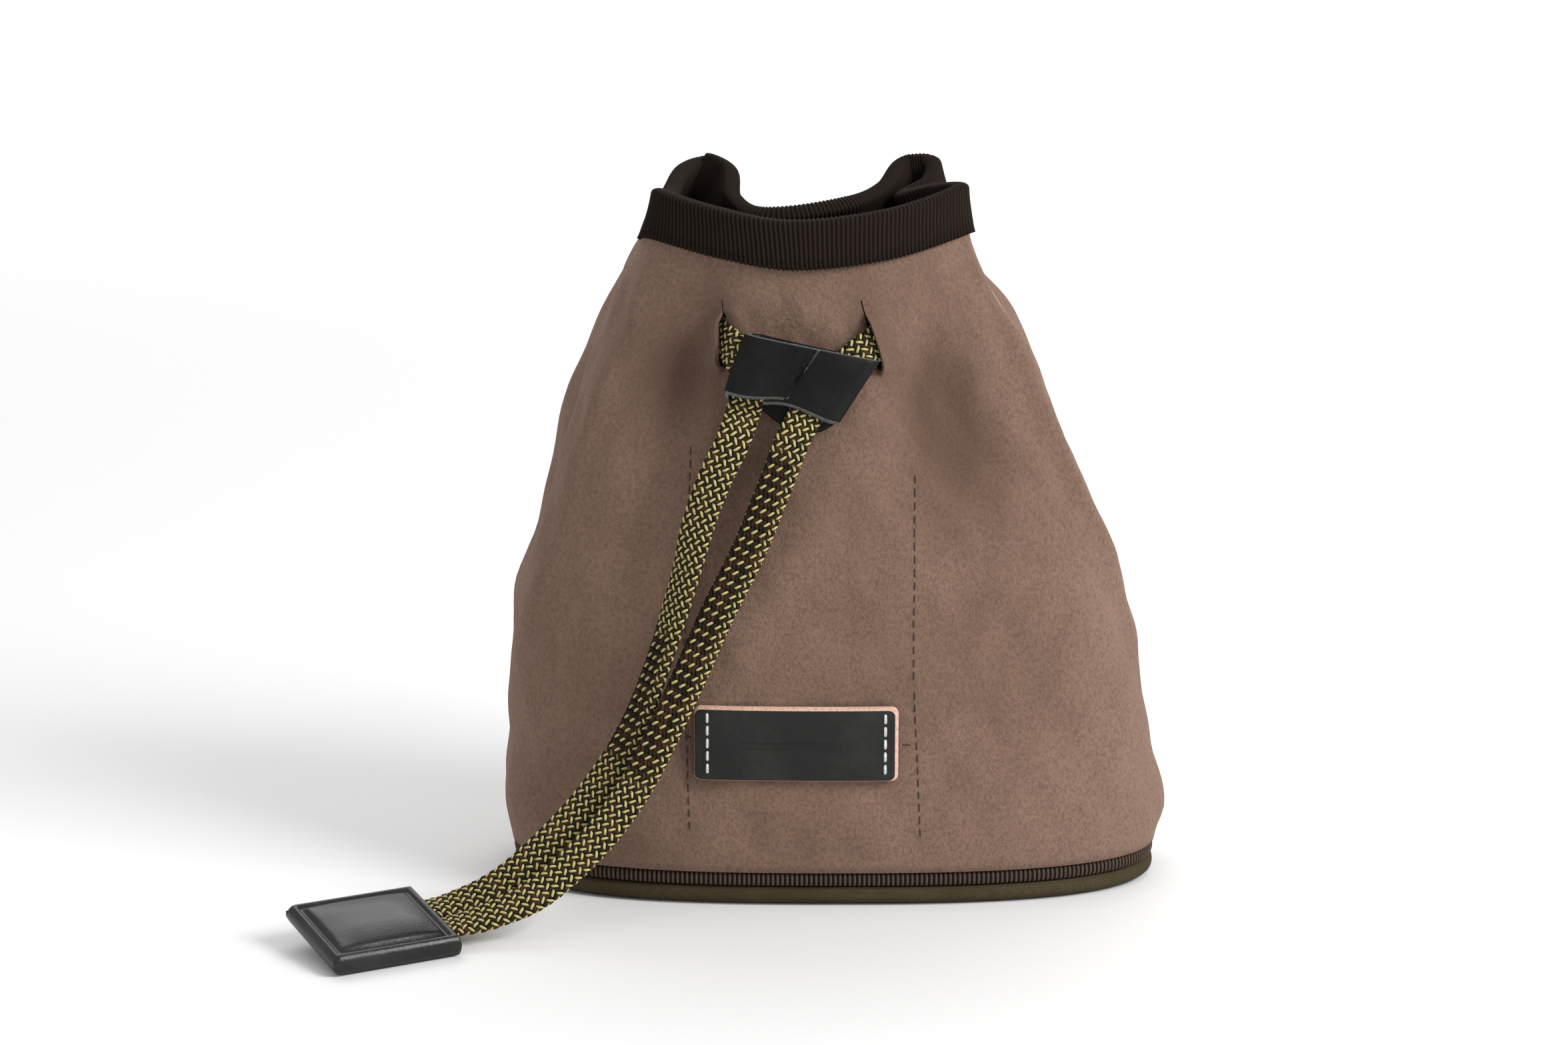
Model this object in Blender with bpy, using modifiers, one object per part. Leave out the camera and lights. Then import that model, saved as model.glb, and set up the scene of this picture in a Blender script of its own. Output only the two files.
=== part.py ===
"""A standing drawstring pouch of soft suede: a gathered wall on a padded base, a bound mouth, a flat cord that runs
round the inside of the neck and hangs out at the front through a leather slider, and a leather tab on its ends.

The front faces -Y, the floor is z = 0 and the origin is under the middle of the base. Run it in Blender."""

import bisect
import math
from collections import namedtuple

import bmesh
import bpy
from mathutils import Matrix, Vector

MM = 0.001

# Body sizes
BODY_WIDTH = 165.5 * MM
BODY_DEPTH = 80 * MM
BODY_HEIGHT = 175 * MM
MOUTH_WIDTH = 73 * MM
MOUTH_DEPTH = 68 * MM
MOUTH_ASIDE = -6 * MM
MOUTH_BACK = -1 * MM
STAND_BACK = 0.9 * MM
WALL = 1.6 * MM
GAP = 0.3 * MM
BINDING_GAP = 0.55 * MM
FRONT_GAP = 0.6 * MM

# Trim sizes
BINDING_DROP = 10.3 * MM
BINDING_THICK = 0.8 * MM
PANEL_THICK = 4.5 * MM
PIPING_HEIGHT = 3.3 * MM
PIPING_WIDTH = 3.2 * MM
PIPING_SET_BACK = 0.4 * MM

# Leather sizes
LEATHER = 1.3 * MM
LABEL_WIDTH = 49 * MM
LABEL_HEIGHT = 18.5 * MM
LABEL_THICK = 1.4 * MM
LABEL_ASIDE = -9.5 * MM
LABEL_UP = 40.9 * MM
TAB_LENGTH = 32 * MM
TAB_WIDTH = 29 * MM
TAB_THICK = 5.0 * MM
TAB_GRIP = 13 * MM
TAB_ROUND = 1.3 * MM
TAB_PLACE = Vector((-94.6 * MM, -65.4 * MM, 0))
TAB_TURN = math.radians(210)
TAB_TILT = math.radians(10)

# Cord sizes
CORD_WIDTH = 8.5 * MM
CORD_THICK = 3.0 * MM
CORD_CLEAR = 0.35 * MM
CORD_INSIDE_GAP = 0.7 * MM
CORD_STEP = 4.8 * MM
CORD_SPACING = 9.8 * MM

# How finely the pieces are lofted
COLUMNS = 70
ROWS = 13
WALL_TOP_RISE = 0.9
CORD_SIDES = 8
CURVE_FINE = 16

SEAM_HEIGHT = PANEL_THICK + PIPING_HEIGHT + 2 * GAP
CORD_UNDER = -(WALL + CORD_INSIDE_GAP + CORD_THICK / 2)
CORD_OVER = FRONT_GAP + LEATHER + CORD_CLEAR + CORD_THICK / 2

# The bound rim, a row for each bend, counterclockwise from the middle of the front. share is the way round the wall;
# x and y are shares of the mouth's width and depth from its middle, and z is a share of the body's height.
Bend = namedtuple("Bend", "name share x y z")
RIM = (
    Bend("front_middle", 0.000, -0.07, -0.50, 0.945),
    Bend("front_right", 0.085, 0.25, -0.43, 0.957),
    Bend("right_corner", 0.165, 0.50, -0.19, 0.983),
    Bend("right_tuck", 0.205, 0.43, 0.00, 0.977),
    Bend("right_valley", 0.250, 0.32, 0.15, 0.963),
    Bend("right_ear_outside", 0.295, 0.42, 0.32, 0.980),
    Bend("right_ear", 0.335, 0.43, 0.48, 1.000),
    Bend("right_ear_inside", 0.370, 0.32, 0.49, 0.997),
    Bend("right_back", 0.420, 0.24, 0.22, 0.971),
    Bend("back_right", 0.470, 0.12, -0.02, 0.960),
    Bend("back_left", 0.545, -0.14, -0.13, 0.949),
    Bend("left_back", 0.610, -0.25, 0.10, 0.960),
    Bend("left_ear_inside", 0.655, -0.27, 0.38, 0.989),
    Bend("left_ear", 0.690, -0.365, 0.50, 1.000),
    Bend("left_ear_outside", 0.725, -0.445, 0.38, 0.990),
    Bend("left_side", 0.780, -0.485, 0.07, 0.966),
    Bend("left_corner", 0.845, -0.50, -0.22, 0.977),
    Bend("front_left", 0.920, -0.315, -0.42, 0.960),
)

# The wall's sections, from the base seam up. rise is a share of the wall's height; width, depth and aside are shares
# of the base's width and depth; mouth says how far the section has taken the rim's form; square is the exponent of
# its rounded oblong.
Section = namedtuple("Section", "rise width depth aside mouth square")
SECTIONS = (
    Section(0.00, 0.980, 1.000, 0.000, 0.00, 2.7),
    Section(0.06, 1.000, 1.000, 0.000, 0.00, 2.8),
    Section(0.17, 0.970, 0.960, -0.006, 0.00, 2.9),
    Section(0.38, 0.932, 0.935, -0.018, 0.00, 3.0),
    Section(0.50, 0.872, 0.930, -0.020, 0.03, 3.0),
    Section(0.69, 0.788, 0.914, -0.036, 0.15, 2.8),
    Section(0.80, 0.729, 0.888, -0.030, 0.28, 2.6),
    Section(0.90, 0.670, 0.861, -0.050, 0.58, 2.5),
    Section(1.00, 0.611, 0.843, -0.050, 1.00, 2.4),
)

# Dents and swellings of the soft wall: where they are, how far they spread, and how deep, as a share of the depth.
Dent = namedtuple("Dent", "name share spread rise reach depth")
DENTS = (
    Dent("right_hollow", 0.105, 0.030, 0.68, 0.13, 0.060),
    Dent("left_hollow", 0.900, 0.030, 0.76, 0.11, 0.050),
    Dent("front_belly", 0.000, 0.090, 0.38, 0.24, -0.030),
    Dent("left_crease", 0.765, 0.022, 0.62, 0.16, 0.045),
    Dent("right_crease", 0.235, 0.022, 0.56, 0.18, 0.040),
    Dent("back_hollow", 0.500, 0.070, 0.78, 0.16, 0.070),
    Dent("back_left_crease", 0.640, 0.022, 0.60, 0.18, 0.050),
    Dent("back_right_crease", 0.370, 0.022, 0.58, 0.18, 0.050),
)

# The cord's way out of the neck on each side, from inside the wall to below the slider: x and height in millimetres
# and out, from 0 inside the wall to 1 under the slider.
Step = namedtuple("Step", "x z out")
LEFT_NECK = (
    Step(-36.0, 140.2, 0.00),
    Step(-30.4, 139.0, 0.12),
    Step(-26.2, 137.4, 0.48),
    Step(-22.8, 134.9, 0.86),
    Step(-20.4, 131.0, 1.00),
    Step(-20.1, 126.4, 1.00),
    Step(-21.6, 121.4, 0.98),
)
RIGHT_NECK = (
    Step(18.2, 139.9, 0.00),
    Step(12.9, 138.8, 0.12),
    Step(8.8, 137.0, 0.48),
    Step(4.8, 134.4, 0.86),
    Step(0.8, 130.8, 1.00),
    Step(-3.2, 126.4, 1.00),
    Step(-6.7, 121.6, 0.98),
)

# The slider's corners on the front of the wall: x and height in millimetres.
Corner = namedtuple("Corner", "name x z")
SLIDER_CORNERS = (
    Corner("top_left", -20.0, 140.2),
    Corner("top_right", 8.8, 133.6),
    Corner("low_left", -25.2, 124.8),
    Corner("low_right", -0.6, 119.6),
)
SLIDER_SEAM = 0.12
SLIDER_LAP = 0.75

# The loose tails, in millimetres from the slider to the tab. turn is how far the flat face turns about the upright,
# and lean how far it tips from facing the front to facing up, in degrees.
Lay = namedtuple("Lay", "x y z turn lean")
LEFT_TAIL = (
    Lay(-24.6, -43.2, 115.2, 0, 0),
    Lay(-28.8, -43.8, 106.5, 8, 0),
    Lay(-32.8, -44.4, 95.5, 25, 0),
    Lay(-36.4, -45.4, 81.5, 45, 0),
    Lay(-42.6, -46.0, 61.8, 52, 2),
    Lay(-49.3, -46.8, 44.6, 40, 8),
    Lay(-60.4, -49.8, 28.0, 22, 22),
    Lay(-76.8, -55.8, 12.8, 8, 38),
    Lay(-88.6, -59.0, 7.2, 0, 60),
)
RIGHT_TAIL = (
    Lay(-10.6, -43.6, 115.2, 0, 0),
    Lay(-14.4, -44.2, 105.3, 0, 0),
    Lay(-20.7, -45.4, 89.7, 5, 0),
    Lay(-28.4, -47.2, 74.2, 10, 2),
    Lay(-34.6, -49.0, 60.3, 10, 6),
    Lay(-40.9, -51.9, 47.1, 10, 14),
    Lay(-48.0, -55.0, 33.7, 8, 22),
    Lay(-57.3, -58.2, 21.6, 5, 30),
    Lay(-69.5, -63.4, 11.4, 0, 40),
    Lay(-80.6, -67.0, 6.6, 0, 60),
)


# Curves through the tables

def between(rows, column, at, loop=None):
    """The smooth curve through a table's column, at a value of the table's share or rise."""
    key = "share" if loop else "rise"
    keys = [getattr(row, key) for row in rows]
    values = [getattr(row, column) for row in rows]
    if loop:
        at %= loop
        keys = [keys[-2] - loop, keys[-1] - loop, *keys, keys[0] + loop, keys[1] + loop]
        values = [values[-2], values[-1], *values, values[0], values[1]]
    i = min(max(bisect.bisect_right(keys, at) - 1, 0), len(keys) - 2)

    def slope(k):
        low = max(k - 1, 0)
        high = min(k + 1, len(keys) - 1)
        return (values[high] - values[low]) / (keys[high] - keys[low])

    span = keys[i + 1] - keys[i]
    f = min(max((at - keys[i]) / span, 0), 1)
    return (
        (2 * f**3 - 3 * f**2 + 1) * values[i]
        + (f**3 - 2 * f**2 + f) * span * slope(i)
        + (3 * f**2 - 2 * f**3) * values[i + 1]
        + (f**3 - f**2) * span * slope(i + 1)
    )


def oblong(angle, square):
    """A point of the rounded oblong of half-width and half-depth 1."""
    c, s = math.cos(angle), math.sin(angle)
    return (
        math.copysign(abs(c) ** (2 / square), c),
        math.copysign(abs(s) ** (2 / square), s),
    )


def angles_by_share(samples=1440):
    """The oblong's angle at each share of the way round the base, from the middle of the front."""
    angles = [2 * math.pi * k / samples - math.pi / 2 for k in range(samples + 1)]
    points = [
        Vector((x * BODY_WIDTH, y * BODY_DEPTH))
        for x, y in (oblong(a, SECTIONS[0].square) for a in angles)
    ]
    way = [0.0]
    for a, b in zip(points, points[1:]):
        way.append(way[-1] + (b - a).length)
    return angles, [w / way[-1] for w in way]


ANGLES, SHARES = angles_by_share()


def angle_at(share):
    share %= 1
    i = min(bisect.bisect_right(SHARES, share), len(SHARES) - 1)
    f = (share - SHARES[i - 1]) / (SHARES[i] - SHARES[i - 1])
    return ANGLES[i - 1] + f * (ANGLES[i] - ANGLES[i - 1])


# The wall as a surface

def rim_point(share):
    return Vector((
        MOUTH_ASIDE + MOUTH_WIDTH * between(RIM, "x", share, 1),
        MOUTH_BACK + MOUTH_DEPTH * between(RIM, "y", share, 1),
        BODY_HEIGHT * between(RIM, "z", share, 1),
    ))


def smooth_wall(share, rise):
    """The wall's outer face before its dents."""
    section = Section(rise, *(between(SECTIONS, name, rise) for name in Section._fields[1:]))
    x, y = oblong(angle_at(share), section.square)
    plain = Vector((
        BODY_WIDTH * (section.aside + x * section.width / 2),
        BODY_DEPTH * y * section.depth / 2,
    ))
    rim = rim_point(share)
    flat = plain.lerp(rim.xy, section.mouth)
    return Vector((flat.x, flat.y, SEAM_HEIGHT + rise * (rim.z - SEAM_HEIGHT)))


def dented_wall(share, rise):
    step = 0.004
    along = smooth_wall(share + step, rise) - smooth_wall(share - step, rise)
    inward = Vector((-along.y, along.x, 0)).normalized()
    depth = 0
    for dent in DENTS:
        aside = (share - dent.share + 0.5) % 1 - 0.5
        fall = (aside / dent.spread) ** 2 + ((rise - dent.rise) / dent.reach) ** 2
        depth += dent.depth * BODY_DEPTH * math.exp(-fall)
    return smooth_wall(share, rise) + depth * inward


def wall_frame(share, rise):
    """The point of the wall's outer face, its outward direction and its upward one."""
    step = 0.003
    low = max(rise - 0.01, 0)
    high = min(rise + 0.01, 1)
    along = dented_wall(share + step, rise) - dented_wall(share - step, rise)
    up = (dented_wall(share, high) - dented_wall(share, low)).normalized()
    return dented_wall(share, rise), along.cross(up).normalized(), up


def wall(share, rise, out=0.0, rim_drop=None):
    """A point out from the wall's face. rim_drop measures it down from the rim instead of by rise."""
    if rim_drop is not None:
        height = rim_point(share).z - SEAM_HEIGHT
        rise = 1 - max(rim_drop, 0) / height
    point, normal, up = wall_frame(share, rise)
    lift = max(-(rim_drop or 0), 0)
    return point + out * normal + lift * up


def front_place(x, z):
    """The share and rise at which the front of the wall has this x and height."""
    share = x / (2.7 * BODY_WIDTH)
    rise = 0.5
    for _ in range(12):
        rise = (z - SEAM_HEIGHT) / (rim_point(share).z - SEAM_HEIGHT)
        here = dented_wall(share, rise).x
        slope = (dented_wall(share + 0.002, rise).x - here) / 0.002
        share += (x - here) / slope
    return share, rise


# Building

def material(name, colour, roughness, metallic=0.0):
    made = bpy.data.materials.new(name)
    made.use_nodes = True
    shader = made.node_tree.nodes["Principled BSDF"]
    shader.inputs["Base Color"].default_value = (*colour, 1)
    shader.inputs["Roughness"].default_value = roughness
    shader.inputs["Metallic"].default_value = metallic
    return made


def collection(name):
    made = bpy.data.collections.new(name)
    bpy.context.scene.collection.children.link(made)
    return made


def loft(name, rings, finish, home, closed=False, capped=True):
    """A mesh through rings of points, each ring closed. closed joins the last ring to the first."""
    shape = bmesh.new()
    loops = [[shape.verts.new(point) for point in ring] for ring in rings]
    pairs = list(zip(loops, loops[1:]))
    if closed:
        pairs.append((loops[-1], loops[0]))
    for low, high in pairs:
        for i in range(len(low)):
            j = (i + 1) % len(low)
            shape.faces.new((low[i], low[j], high[j], high[i]))
    if capped and not closed:
        shape.faces.new(loops[0][::-1])
        shape.faces.new(loops[-1])
    bmesh.ops.recalc_face_normals(shape, faces=shape.faces)
    mesh = bpy.data.meshes.new(name)
    shape.to_mesh(mesh)
    shape.free()
    mesh.shade_smooth()
    mesh.set_sharp_from_angle(angle=math.radians(40))
    made = bpy.data.objects.new(name, mesh)
    home.objects.link(made)
    made.parent = stand
    if finish:
        mesh.materials.append(finish)
    else:
        made.hide_render = True
        made.display_type = "WIRE"
    return made


def cut(piece, cutter):
    made = piece.modifiers.new(f"cut {cutter.name}", "BOOLEAN")
    made.operation = "DIFFERENCE"
    made.object = cutter


def evenly(count):
    return [k / count for k in range(count)]


# The pieces

def build_shell(finish, home):
    """The suede wall, open at the mouth and over the base. Its top rows match the binding's."""
    rings = []
    for share in evenly(COLUMNS):
        ring = []
        for out, order in ((0.0, 1), (-WALL, -1)):
            rows = [wall(share, WALL_TOP_RISE * k / ROWS, out) for k in range(ROWS + 1)]
            rows += [wall(share, 1, out, rim_drop=drop) for drop in (BINDING_DROP, BINDING_DROP / 2, 0)]
            ring += rows[::order]
        rings.append(ring)
    return loft("outer_shell", rings, finish, home, closed=True)


def build_binding(finish, home):
    """Tape folded over the rim: down the outside, over the edge, down the inside."""
    outside = BINDING_GAP + BINDING_THICK
    inside = -(WALL + BINDING_GAP + BINDING_THICK)
    shoulder = 0.6 * BINDING_THICK
    profile = (
        (outside, BINDING_DROP),
        (outside, BINDING_DROP / 2),
        (outside, 0),
        (outside - shoulder, -outside),
        (inside + shoulder, -outside),
        (inside, 0),
        (inside, BINDING_DROP / 2),
        (inside, BINDING_DROP),
        (-(WALL + BINDING_GAP), BINDING_DROP),
        (-(WALL + BINDING_GAP), BINDING_DROP / 2),
        (-(WALL + BINDING_GAP), -BINDING_GAP),
        (BINDING_GAP, -BINDING_GAP),
        (BINDING_GAP, BINDING_DROP / 2),
        (BINDING_GAP, BINDING_DROP),
    )
    rings = [
        [wall(share, 1, out, rim_drop=drop) for out, drop in profile]
        for share in evenly(COLUMNS)
    ]
    return loft("mouth_binding", rings, finish, home, closed=True)


def foot_point(share, inset, height):
    """A point of the base's outline, set in and at a height."""
    point, normal, _ = wall_frame(share, 0)
    level = Vector((normal.x, normal.y, 0)).normalized()
    return Vector((point.x, point.y, height)) - inset * level


def build_piping(finish, home):
    """The ribbed tape in the seam between wall and base."""
    low = PANEL_THICK + GAP
    high = low + PIPING_HEIGHT
    front = PIPING_SET_BACK
    back = front + PIPING_WIDTH
    round_off = 0.3 * PIPING_HEIGHT
    profile = (
        (back, low),
        (front + round_off, low),
        (front, low + round_off),
        (front, high - round_off),
        (front + round_off, high),
        (back, high),
    )
    rings = [
        [foot_point(share, inset, height) for inset, height in profile]
        for share in evenly(COLUMNS)
    ]
    return loft("base_piping", rings, finish, home, closed=True)


def build_base(finish, home):
    """The padded bottom, flat underneath and with a pillowed edge."""
    profile = ((2.6, 0.0), (1.1, 0.08), (0.2, 0.28), (0.0, 0.52), (0.3, 0.80), (1.3, 1.0))
    rings = [
        [foot_point(share, inset * MM + PIPING_SET_BACK, lift * PANEL_THICK) for share in evenly(COLUMNS)]
        for inset, lift in profile
    ]
    return loft("base_panel", rings, finish, home)


def build_label(finish, home):
    """The bare leather patch on the front, with its corners taken off."""
    across, up = 14, 5
    corner = 0.9 * MM
    rings = []
    for i in range(across + 1):
        ring = []
        for face, order in ((FRONT_GAP, range(up + 1)), (FRONT_GAP + LABEL_THICK, range(up, -1, -1))):
            for j in order:
                x = LABEL_WIDTH * (i / across - 0.5)
                z = LABEL_HEIGHT * (j / up - 0.5)
                if i in (0, across) and j in (0, up):
                    x -= math.copysign(corner, x)
                place = front_place(LABEL_ASIDE + x, LABEL_UP + z)
                ring.append(wall(*place, face))
        rings.append(ring)
    return loft("label_patch", rings, finish, home)


# The cord

Station = namedtuple("Station", "point face")
Slice = namedtuple("Slice", "point face ahead")


def neck_stations(steps):
    found = []
    for step in steps:
        share, rise = front_place(step.x * MM, step.z * MM)
        out = CORD_UNDER + step.out * (CORD_OVER - CORD_UNDER)
        point, normal, _ = wall_frame(share, rise)
        found.append(Station(point + out * normal, normal))
    return found


def tail_stations(lays):
    found = []
    for lay in lays:
        lean = Matrix.Rotation(math.radians(lay.lean), 3, "X")
        turn = Matrix.Rotation(math.radians(-lay.turn), 3, "Z")
        face = turn @ (lean.inverted() @ Vector((0, -1, 0)))
        found.append(Station(Vector((lay.x, lay.y, lay.z)) * MM, face))
    return found


def tab_frame():
    """The tab's place: it rests on its front edge, with its back edge tipped up by the cord."""
    lifted = TAB_PLACE + Vector((0, 0, TAB_WIDTH / 2 * math.sin(TAB_TILT)))
    turned = Matrix.Rotation(TAB_TURN, 4, "Z") @ Matrix.Rotation(-TAB_TILT, 4, "X")
    return Matrix.Translation(lifted) @ turned


def tab_stations(side):
    """The end of a tail inside the tab."""
    aside = side * CORD_SPACING / 2
    up = tab_frame().to_3x3() @ Vector((0, 0, 1))
    return [Station(tab_frame() @ Vector((way, aside, TAB_THICK / 2)), up) for way in (0.0, TAB_GRIP)]


def ring_stations(first, last):
    """The stretch round the inside of the neck, from the left way out, round the back, to the right one."""
    start, start_rise = front_place(first.x * MM, first.z * MM)
    stop, stop_rise = front_place(last.x * MM, last.z * MM)
    start %= 1
    count = 36
    found = []
    for k in range(1, count):
        f = k / count
        share = start + f * (stop - start)
        rise = start_rise + f * (stop_rise - start_rise)
        point, normal, _ = wall_frame(share, rise)
        found.append(Station(point + CORD_UNDER * normal, normal))
    return found


def curve_through(stations):
    """A smooth line through the stations, CURVE_FINE steps to each, with its face directions."""
    points = [s.point for s in stations]
    points = [2 * points[0] - points[1], *points, 2 * points[-1] - points[-2]]
    line = []
    for i in range(1, len(points) - 2):
        a, b, c, d = points[i - 1 : i + 3]
        for k in range(CURVE_FINE):
            f = k / CURVE_FINE
            place = 0.5 * (
                2 * b
                + (c - a) * f
                + (2 * a - 5 * b + 4 * c - d) * f**2
                + (3 * b - a - 3 * c + d) * f**3
            )
            face = stations[i - 1].face.lerp(stations[i].face, f * f * (3 - 2 * f))
            line.append(Station(place, face.normalized()))
    line.append(stations[-1])
    return line


def resample(line, step, trim_start=0.0, trim_end=0.0):
    """Slices a step apart along the line, without a trimmed length at each end."""
    way = [0.0]
    for a, b in zip(line, line[1:]):
        way.append(way[-1] + (b.point - a.point).length)
    first, last = trim_start, way[-1] - trim_end
    count = max(round((last - first) / step), 1)
    found = []
    for k in range(count + 1):
        at = first + (last - first) * k / count
        i = min(max(bisect.bisect_right(way, at), 1), len(way) - 1)
        f = (at - way[i - 1]) / (way[i] - way[i - 1])
        a, b = line[i - 1], line[i]
        face = a.face.lerp(b.face, f).normalized()
        ahead = (b.point - a.point).normalized()
        found.append(Slice(a.point.lerp(b.point, f), face, ahead))
    return found


def strap(name, slices, width, thick, finish, home):
    """A flat cord along the slices, its broad face turned as they say."""
    rings = []
    for point, face, ahead in slices:
        across = ahead.cross(face).normalized()
        outward = across.cross(ahead)
        ring = []
        for i in range(CORD_SIDES):
            x, y = oblong(2 * math.pi * (i + 0.5) / CORD_SIDES, 2.8)
            ring.append(point + across * x * width / 2 + outward * y * thick / 2)
        rings.append(ring)
    return loft(name, rings, finish, home)


def build_cord(finish, home, tools):
    """The cord in three stretches, end to end, and a cutter for each way out of the neck."""
    left = neck_stations(LEFT_NECK) + tail_stations(LEFT_TAIL) + tab_stations(-1)
    right = neck_stations(RIGHT_NECK) + tail_stations(RIGHT_TAIL) + tab_stations(1)
    ring = ring_stations(LEFT_NECK[0], RIGHT_NECK[0])
    line = curve_through(left[::-1] + ring + right)
    left_join = CURVE_FINE * (len(left) - 1)
    right_join = CURVE_FINE * (len(left) + len(ring))
    stretches = {
        "cord_left": line[left_join::-1],
        "cord_ring": line[left_join : right_join + 1],
        "cord_right": line[right_join:],
    }
    cutters = []
    for name, stretch in stretches.items():
        far_trim = GAP / 2 if name == "cord_ring" else 0
        slices = resample(stretch, CORD_STEP, GAP / 2, far_trim)
        strap(name, slices, CORD_WIDTH, CORD_THICK, finish, home)
        if name == "cord_ring":
            continue
        point, face, ahead = slices[-1]
        slices.append(Slice(point + CORD_CLEAR * ahead, face, ahead))
        wide = CORD_WIDTH + 2 * CORD_CLEAR
        thick = CORD_THICK + 2 * CORD_CLEAR
        cutters.append(strap(f"{name}_room", slices, wide, thick, None, tools))
    return cutters


def build_slider(finish, home, cutters):
    """A leather strip folded round both strands, its end lapped over the front and stitched."""
    top_left, top_right, low_left, low_right = (Vector((c.x, c.z)) for c in SLIDER_CORNERS)
    back = FRONT_GAP
    front = CORD_OVER + CORD_THICK / 2 + CORD_CLEAR + LEATHER
    lap = SLIDER_LAP * LEATHER
    seam = SLIDER_SEAM
    rows = 4
    outline = (
        (-1.0, 0.35, 0), (-0.985, 0.12, 0), (-0.93, 0.0, 0), (-0.5, 0.0, 0), (0.0, 0.0, 0), (0.5, 0.0, 0),
        (0.93, 0.0, 0), (0.985, 0.12, 0), (1.0, 0.35, 0), (1.0, 0.65, 0), (0.985, 0.88, 0), (0.93, 1.0, 0),
        (0.5, 1.0, 0), (seam + 0.03, 1.0, 0), (seam, 1.0, 1), (-0.3, 1.0, 1), (-0.7, 1.0, 1), (-0.93, 1.0, 1),
        (-0.985, 0.88, 0), (-1.0, 0.65, 0),
    )
    rings = []
    for k in range(rows + 1):
        f = k / rows
        left = top_left.lerp(low_left, f)
        right = top_right.lerp(low_right, f)
        ring = []
        for across, depth, lapped in outline:
            at = left.lerp(right, (across + 1) / 2) * MM
            share, rise = front_place(at.x, at.y)
            ring.append(wall(share, rise, back + depth * (front - back) + lapped * lap))
        rings.append(ring)
    slider = loft("cord_slider", rings, finish, home)
    for cutter in cutters:
        cut(slider, cutter)
    return slider


def build_tab(finish, home, cutters):
    """A leather strip folded over both cord ends and lying on the floor."""
    shape = bmesh.new()
    bmesh.ops.create_cube(shape, size=1)
    bmesh.ops.scale(shape, vec=(TAB_LENGTH, TAB_WIDTH, TAB_THICK), verts=shape.verts)
    bmesh.ops.translate(shape, vec=(TAB_LENGTH / 2, 0, TAB_THICK / 2), verts=shape.verts)
    mesh = bpy.data.meshes.new("end_tab")
    shape.to_mesh(mesh)
    shape.free()
    mesh.materials.append(finish)
    tab = bpy.data.objects.new("end_tab", mesh)
    home.objects.link(tab)
    tab.parent = stand
    tab.location = tab_frame().translation
    tab.rotation_euler = tab_frame().to_euler()
    edge = tab.modifiers.new("edge", "BEVEL")
    edge.width = TAB_ROUND
    edge.segments = 3
    for cutter in cutters:
        cut(tab, cutter)
    return tab


for old in list(bpy.data.objects):
    bpy.data.objects.remove(old)

pouch = collection("suede_pouch")
cutters_home = collection("cutters")

# Sets the middle of the wall's box, with its fuller front, over the origin.
stand = bpy.data.objects.new("stand", None)
stand.location.y = STAND_BACK
pouch.objects.link(stand)

suede = material("brown suede", (0.22, 0.14, 0.105), 0.95)
ribbed_tape = material("black ribbed tape", (0.014, 0.010, 0.008), 0.75)
seam_tape = material("dark seam tape", (0.045, 0.033, 0.022), 0.8)
olive = material("olive base cloth", (0.060, 0.045, 0.025), 0.85)
leather = material("black leather", (0.018, 0.018, 0.017), 0.45)
braid = material("brown and yellow braid", (0.10, 0.075, 0.03), 0.7)

rooms = build_cord(braid, pouch, cutters_home)
body = build_shell(suede, pouch)
for room in rooms:
    cut(body, room)
build_binding(ribbed_tape, pouch)
build_piping(seam_tape, pouch)
build_base(olive, pouch)
build_label(leather, pouch)
build_slider(leather, pouch, rooms)
build_tab(leather, pouch, rooms)
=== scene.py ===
import math
from collections import namedtuple

import bpy
import numpy as np
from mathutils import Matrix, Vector


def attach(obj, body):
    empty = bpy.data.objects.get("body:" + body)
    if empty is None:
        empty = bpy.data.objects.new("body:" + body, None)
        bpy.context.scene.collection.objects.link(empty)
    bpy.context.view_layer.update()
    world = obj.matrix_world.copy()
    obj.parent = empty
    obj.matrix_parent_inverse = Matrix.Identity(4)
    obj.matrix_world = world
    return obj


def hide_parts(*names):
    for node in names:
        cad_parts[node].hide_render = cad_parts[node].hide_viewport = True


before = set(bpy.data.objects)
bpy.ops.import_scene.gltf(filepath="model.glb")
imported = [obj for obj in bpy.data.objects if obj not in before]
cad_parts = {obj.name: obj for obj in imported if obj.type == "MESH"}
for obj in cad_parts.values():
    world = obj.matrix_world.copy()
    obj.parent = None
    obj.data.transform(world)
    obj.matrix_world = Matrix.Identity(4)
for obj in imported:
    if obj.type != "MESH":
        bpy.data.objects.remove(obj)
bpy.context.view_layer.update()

MM = 0.001

# The photograph's camera
# It stands 0.85 m in front of the pouch and looks 11 degrees down, so that the inside of the mouth just shows.
CAMERA_LOOKS_AT = Vector((-12.5, 1.8, 87.2)) * MM
CAMERA_AWAY = 0.85
CAMERA_DOWN = math.radians(11)
camera = bpy.data.objects.new("camera", bpy.data.cameras.new("camera"))
bpy.context.scene.collection.objects.link(camera)
camera.location = CAMERA_LOOKS_AT + CAMERA_AWAY * Vector((0, -math.cos(CAMERA_DOWN), math.sin(CAMERA_DOWN)))
camera.rotation_euler = (math.pi / 2 - CAMERA_DOWN, 0, 0)
camera.data.sensor_width = 36
camera.data.lens = 78
bpy.context.scene.camera = camera

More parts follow.
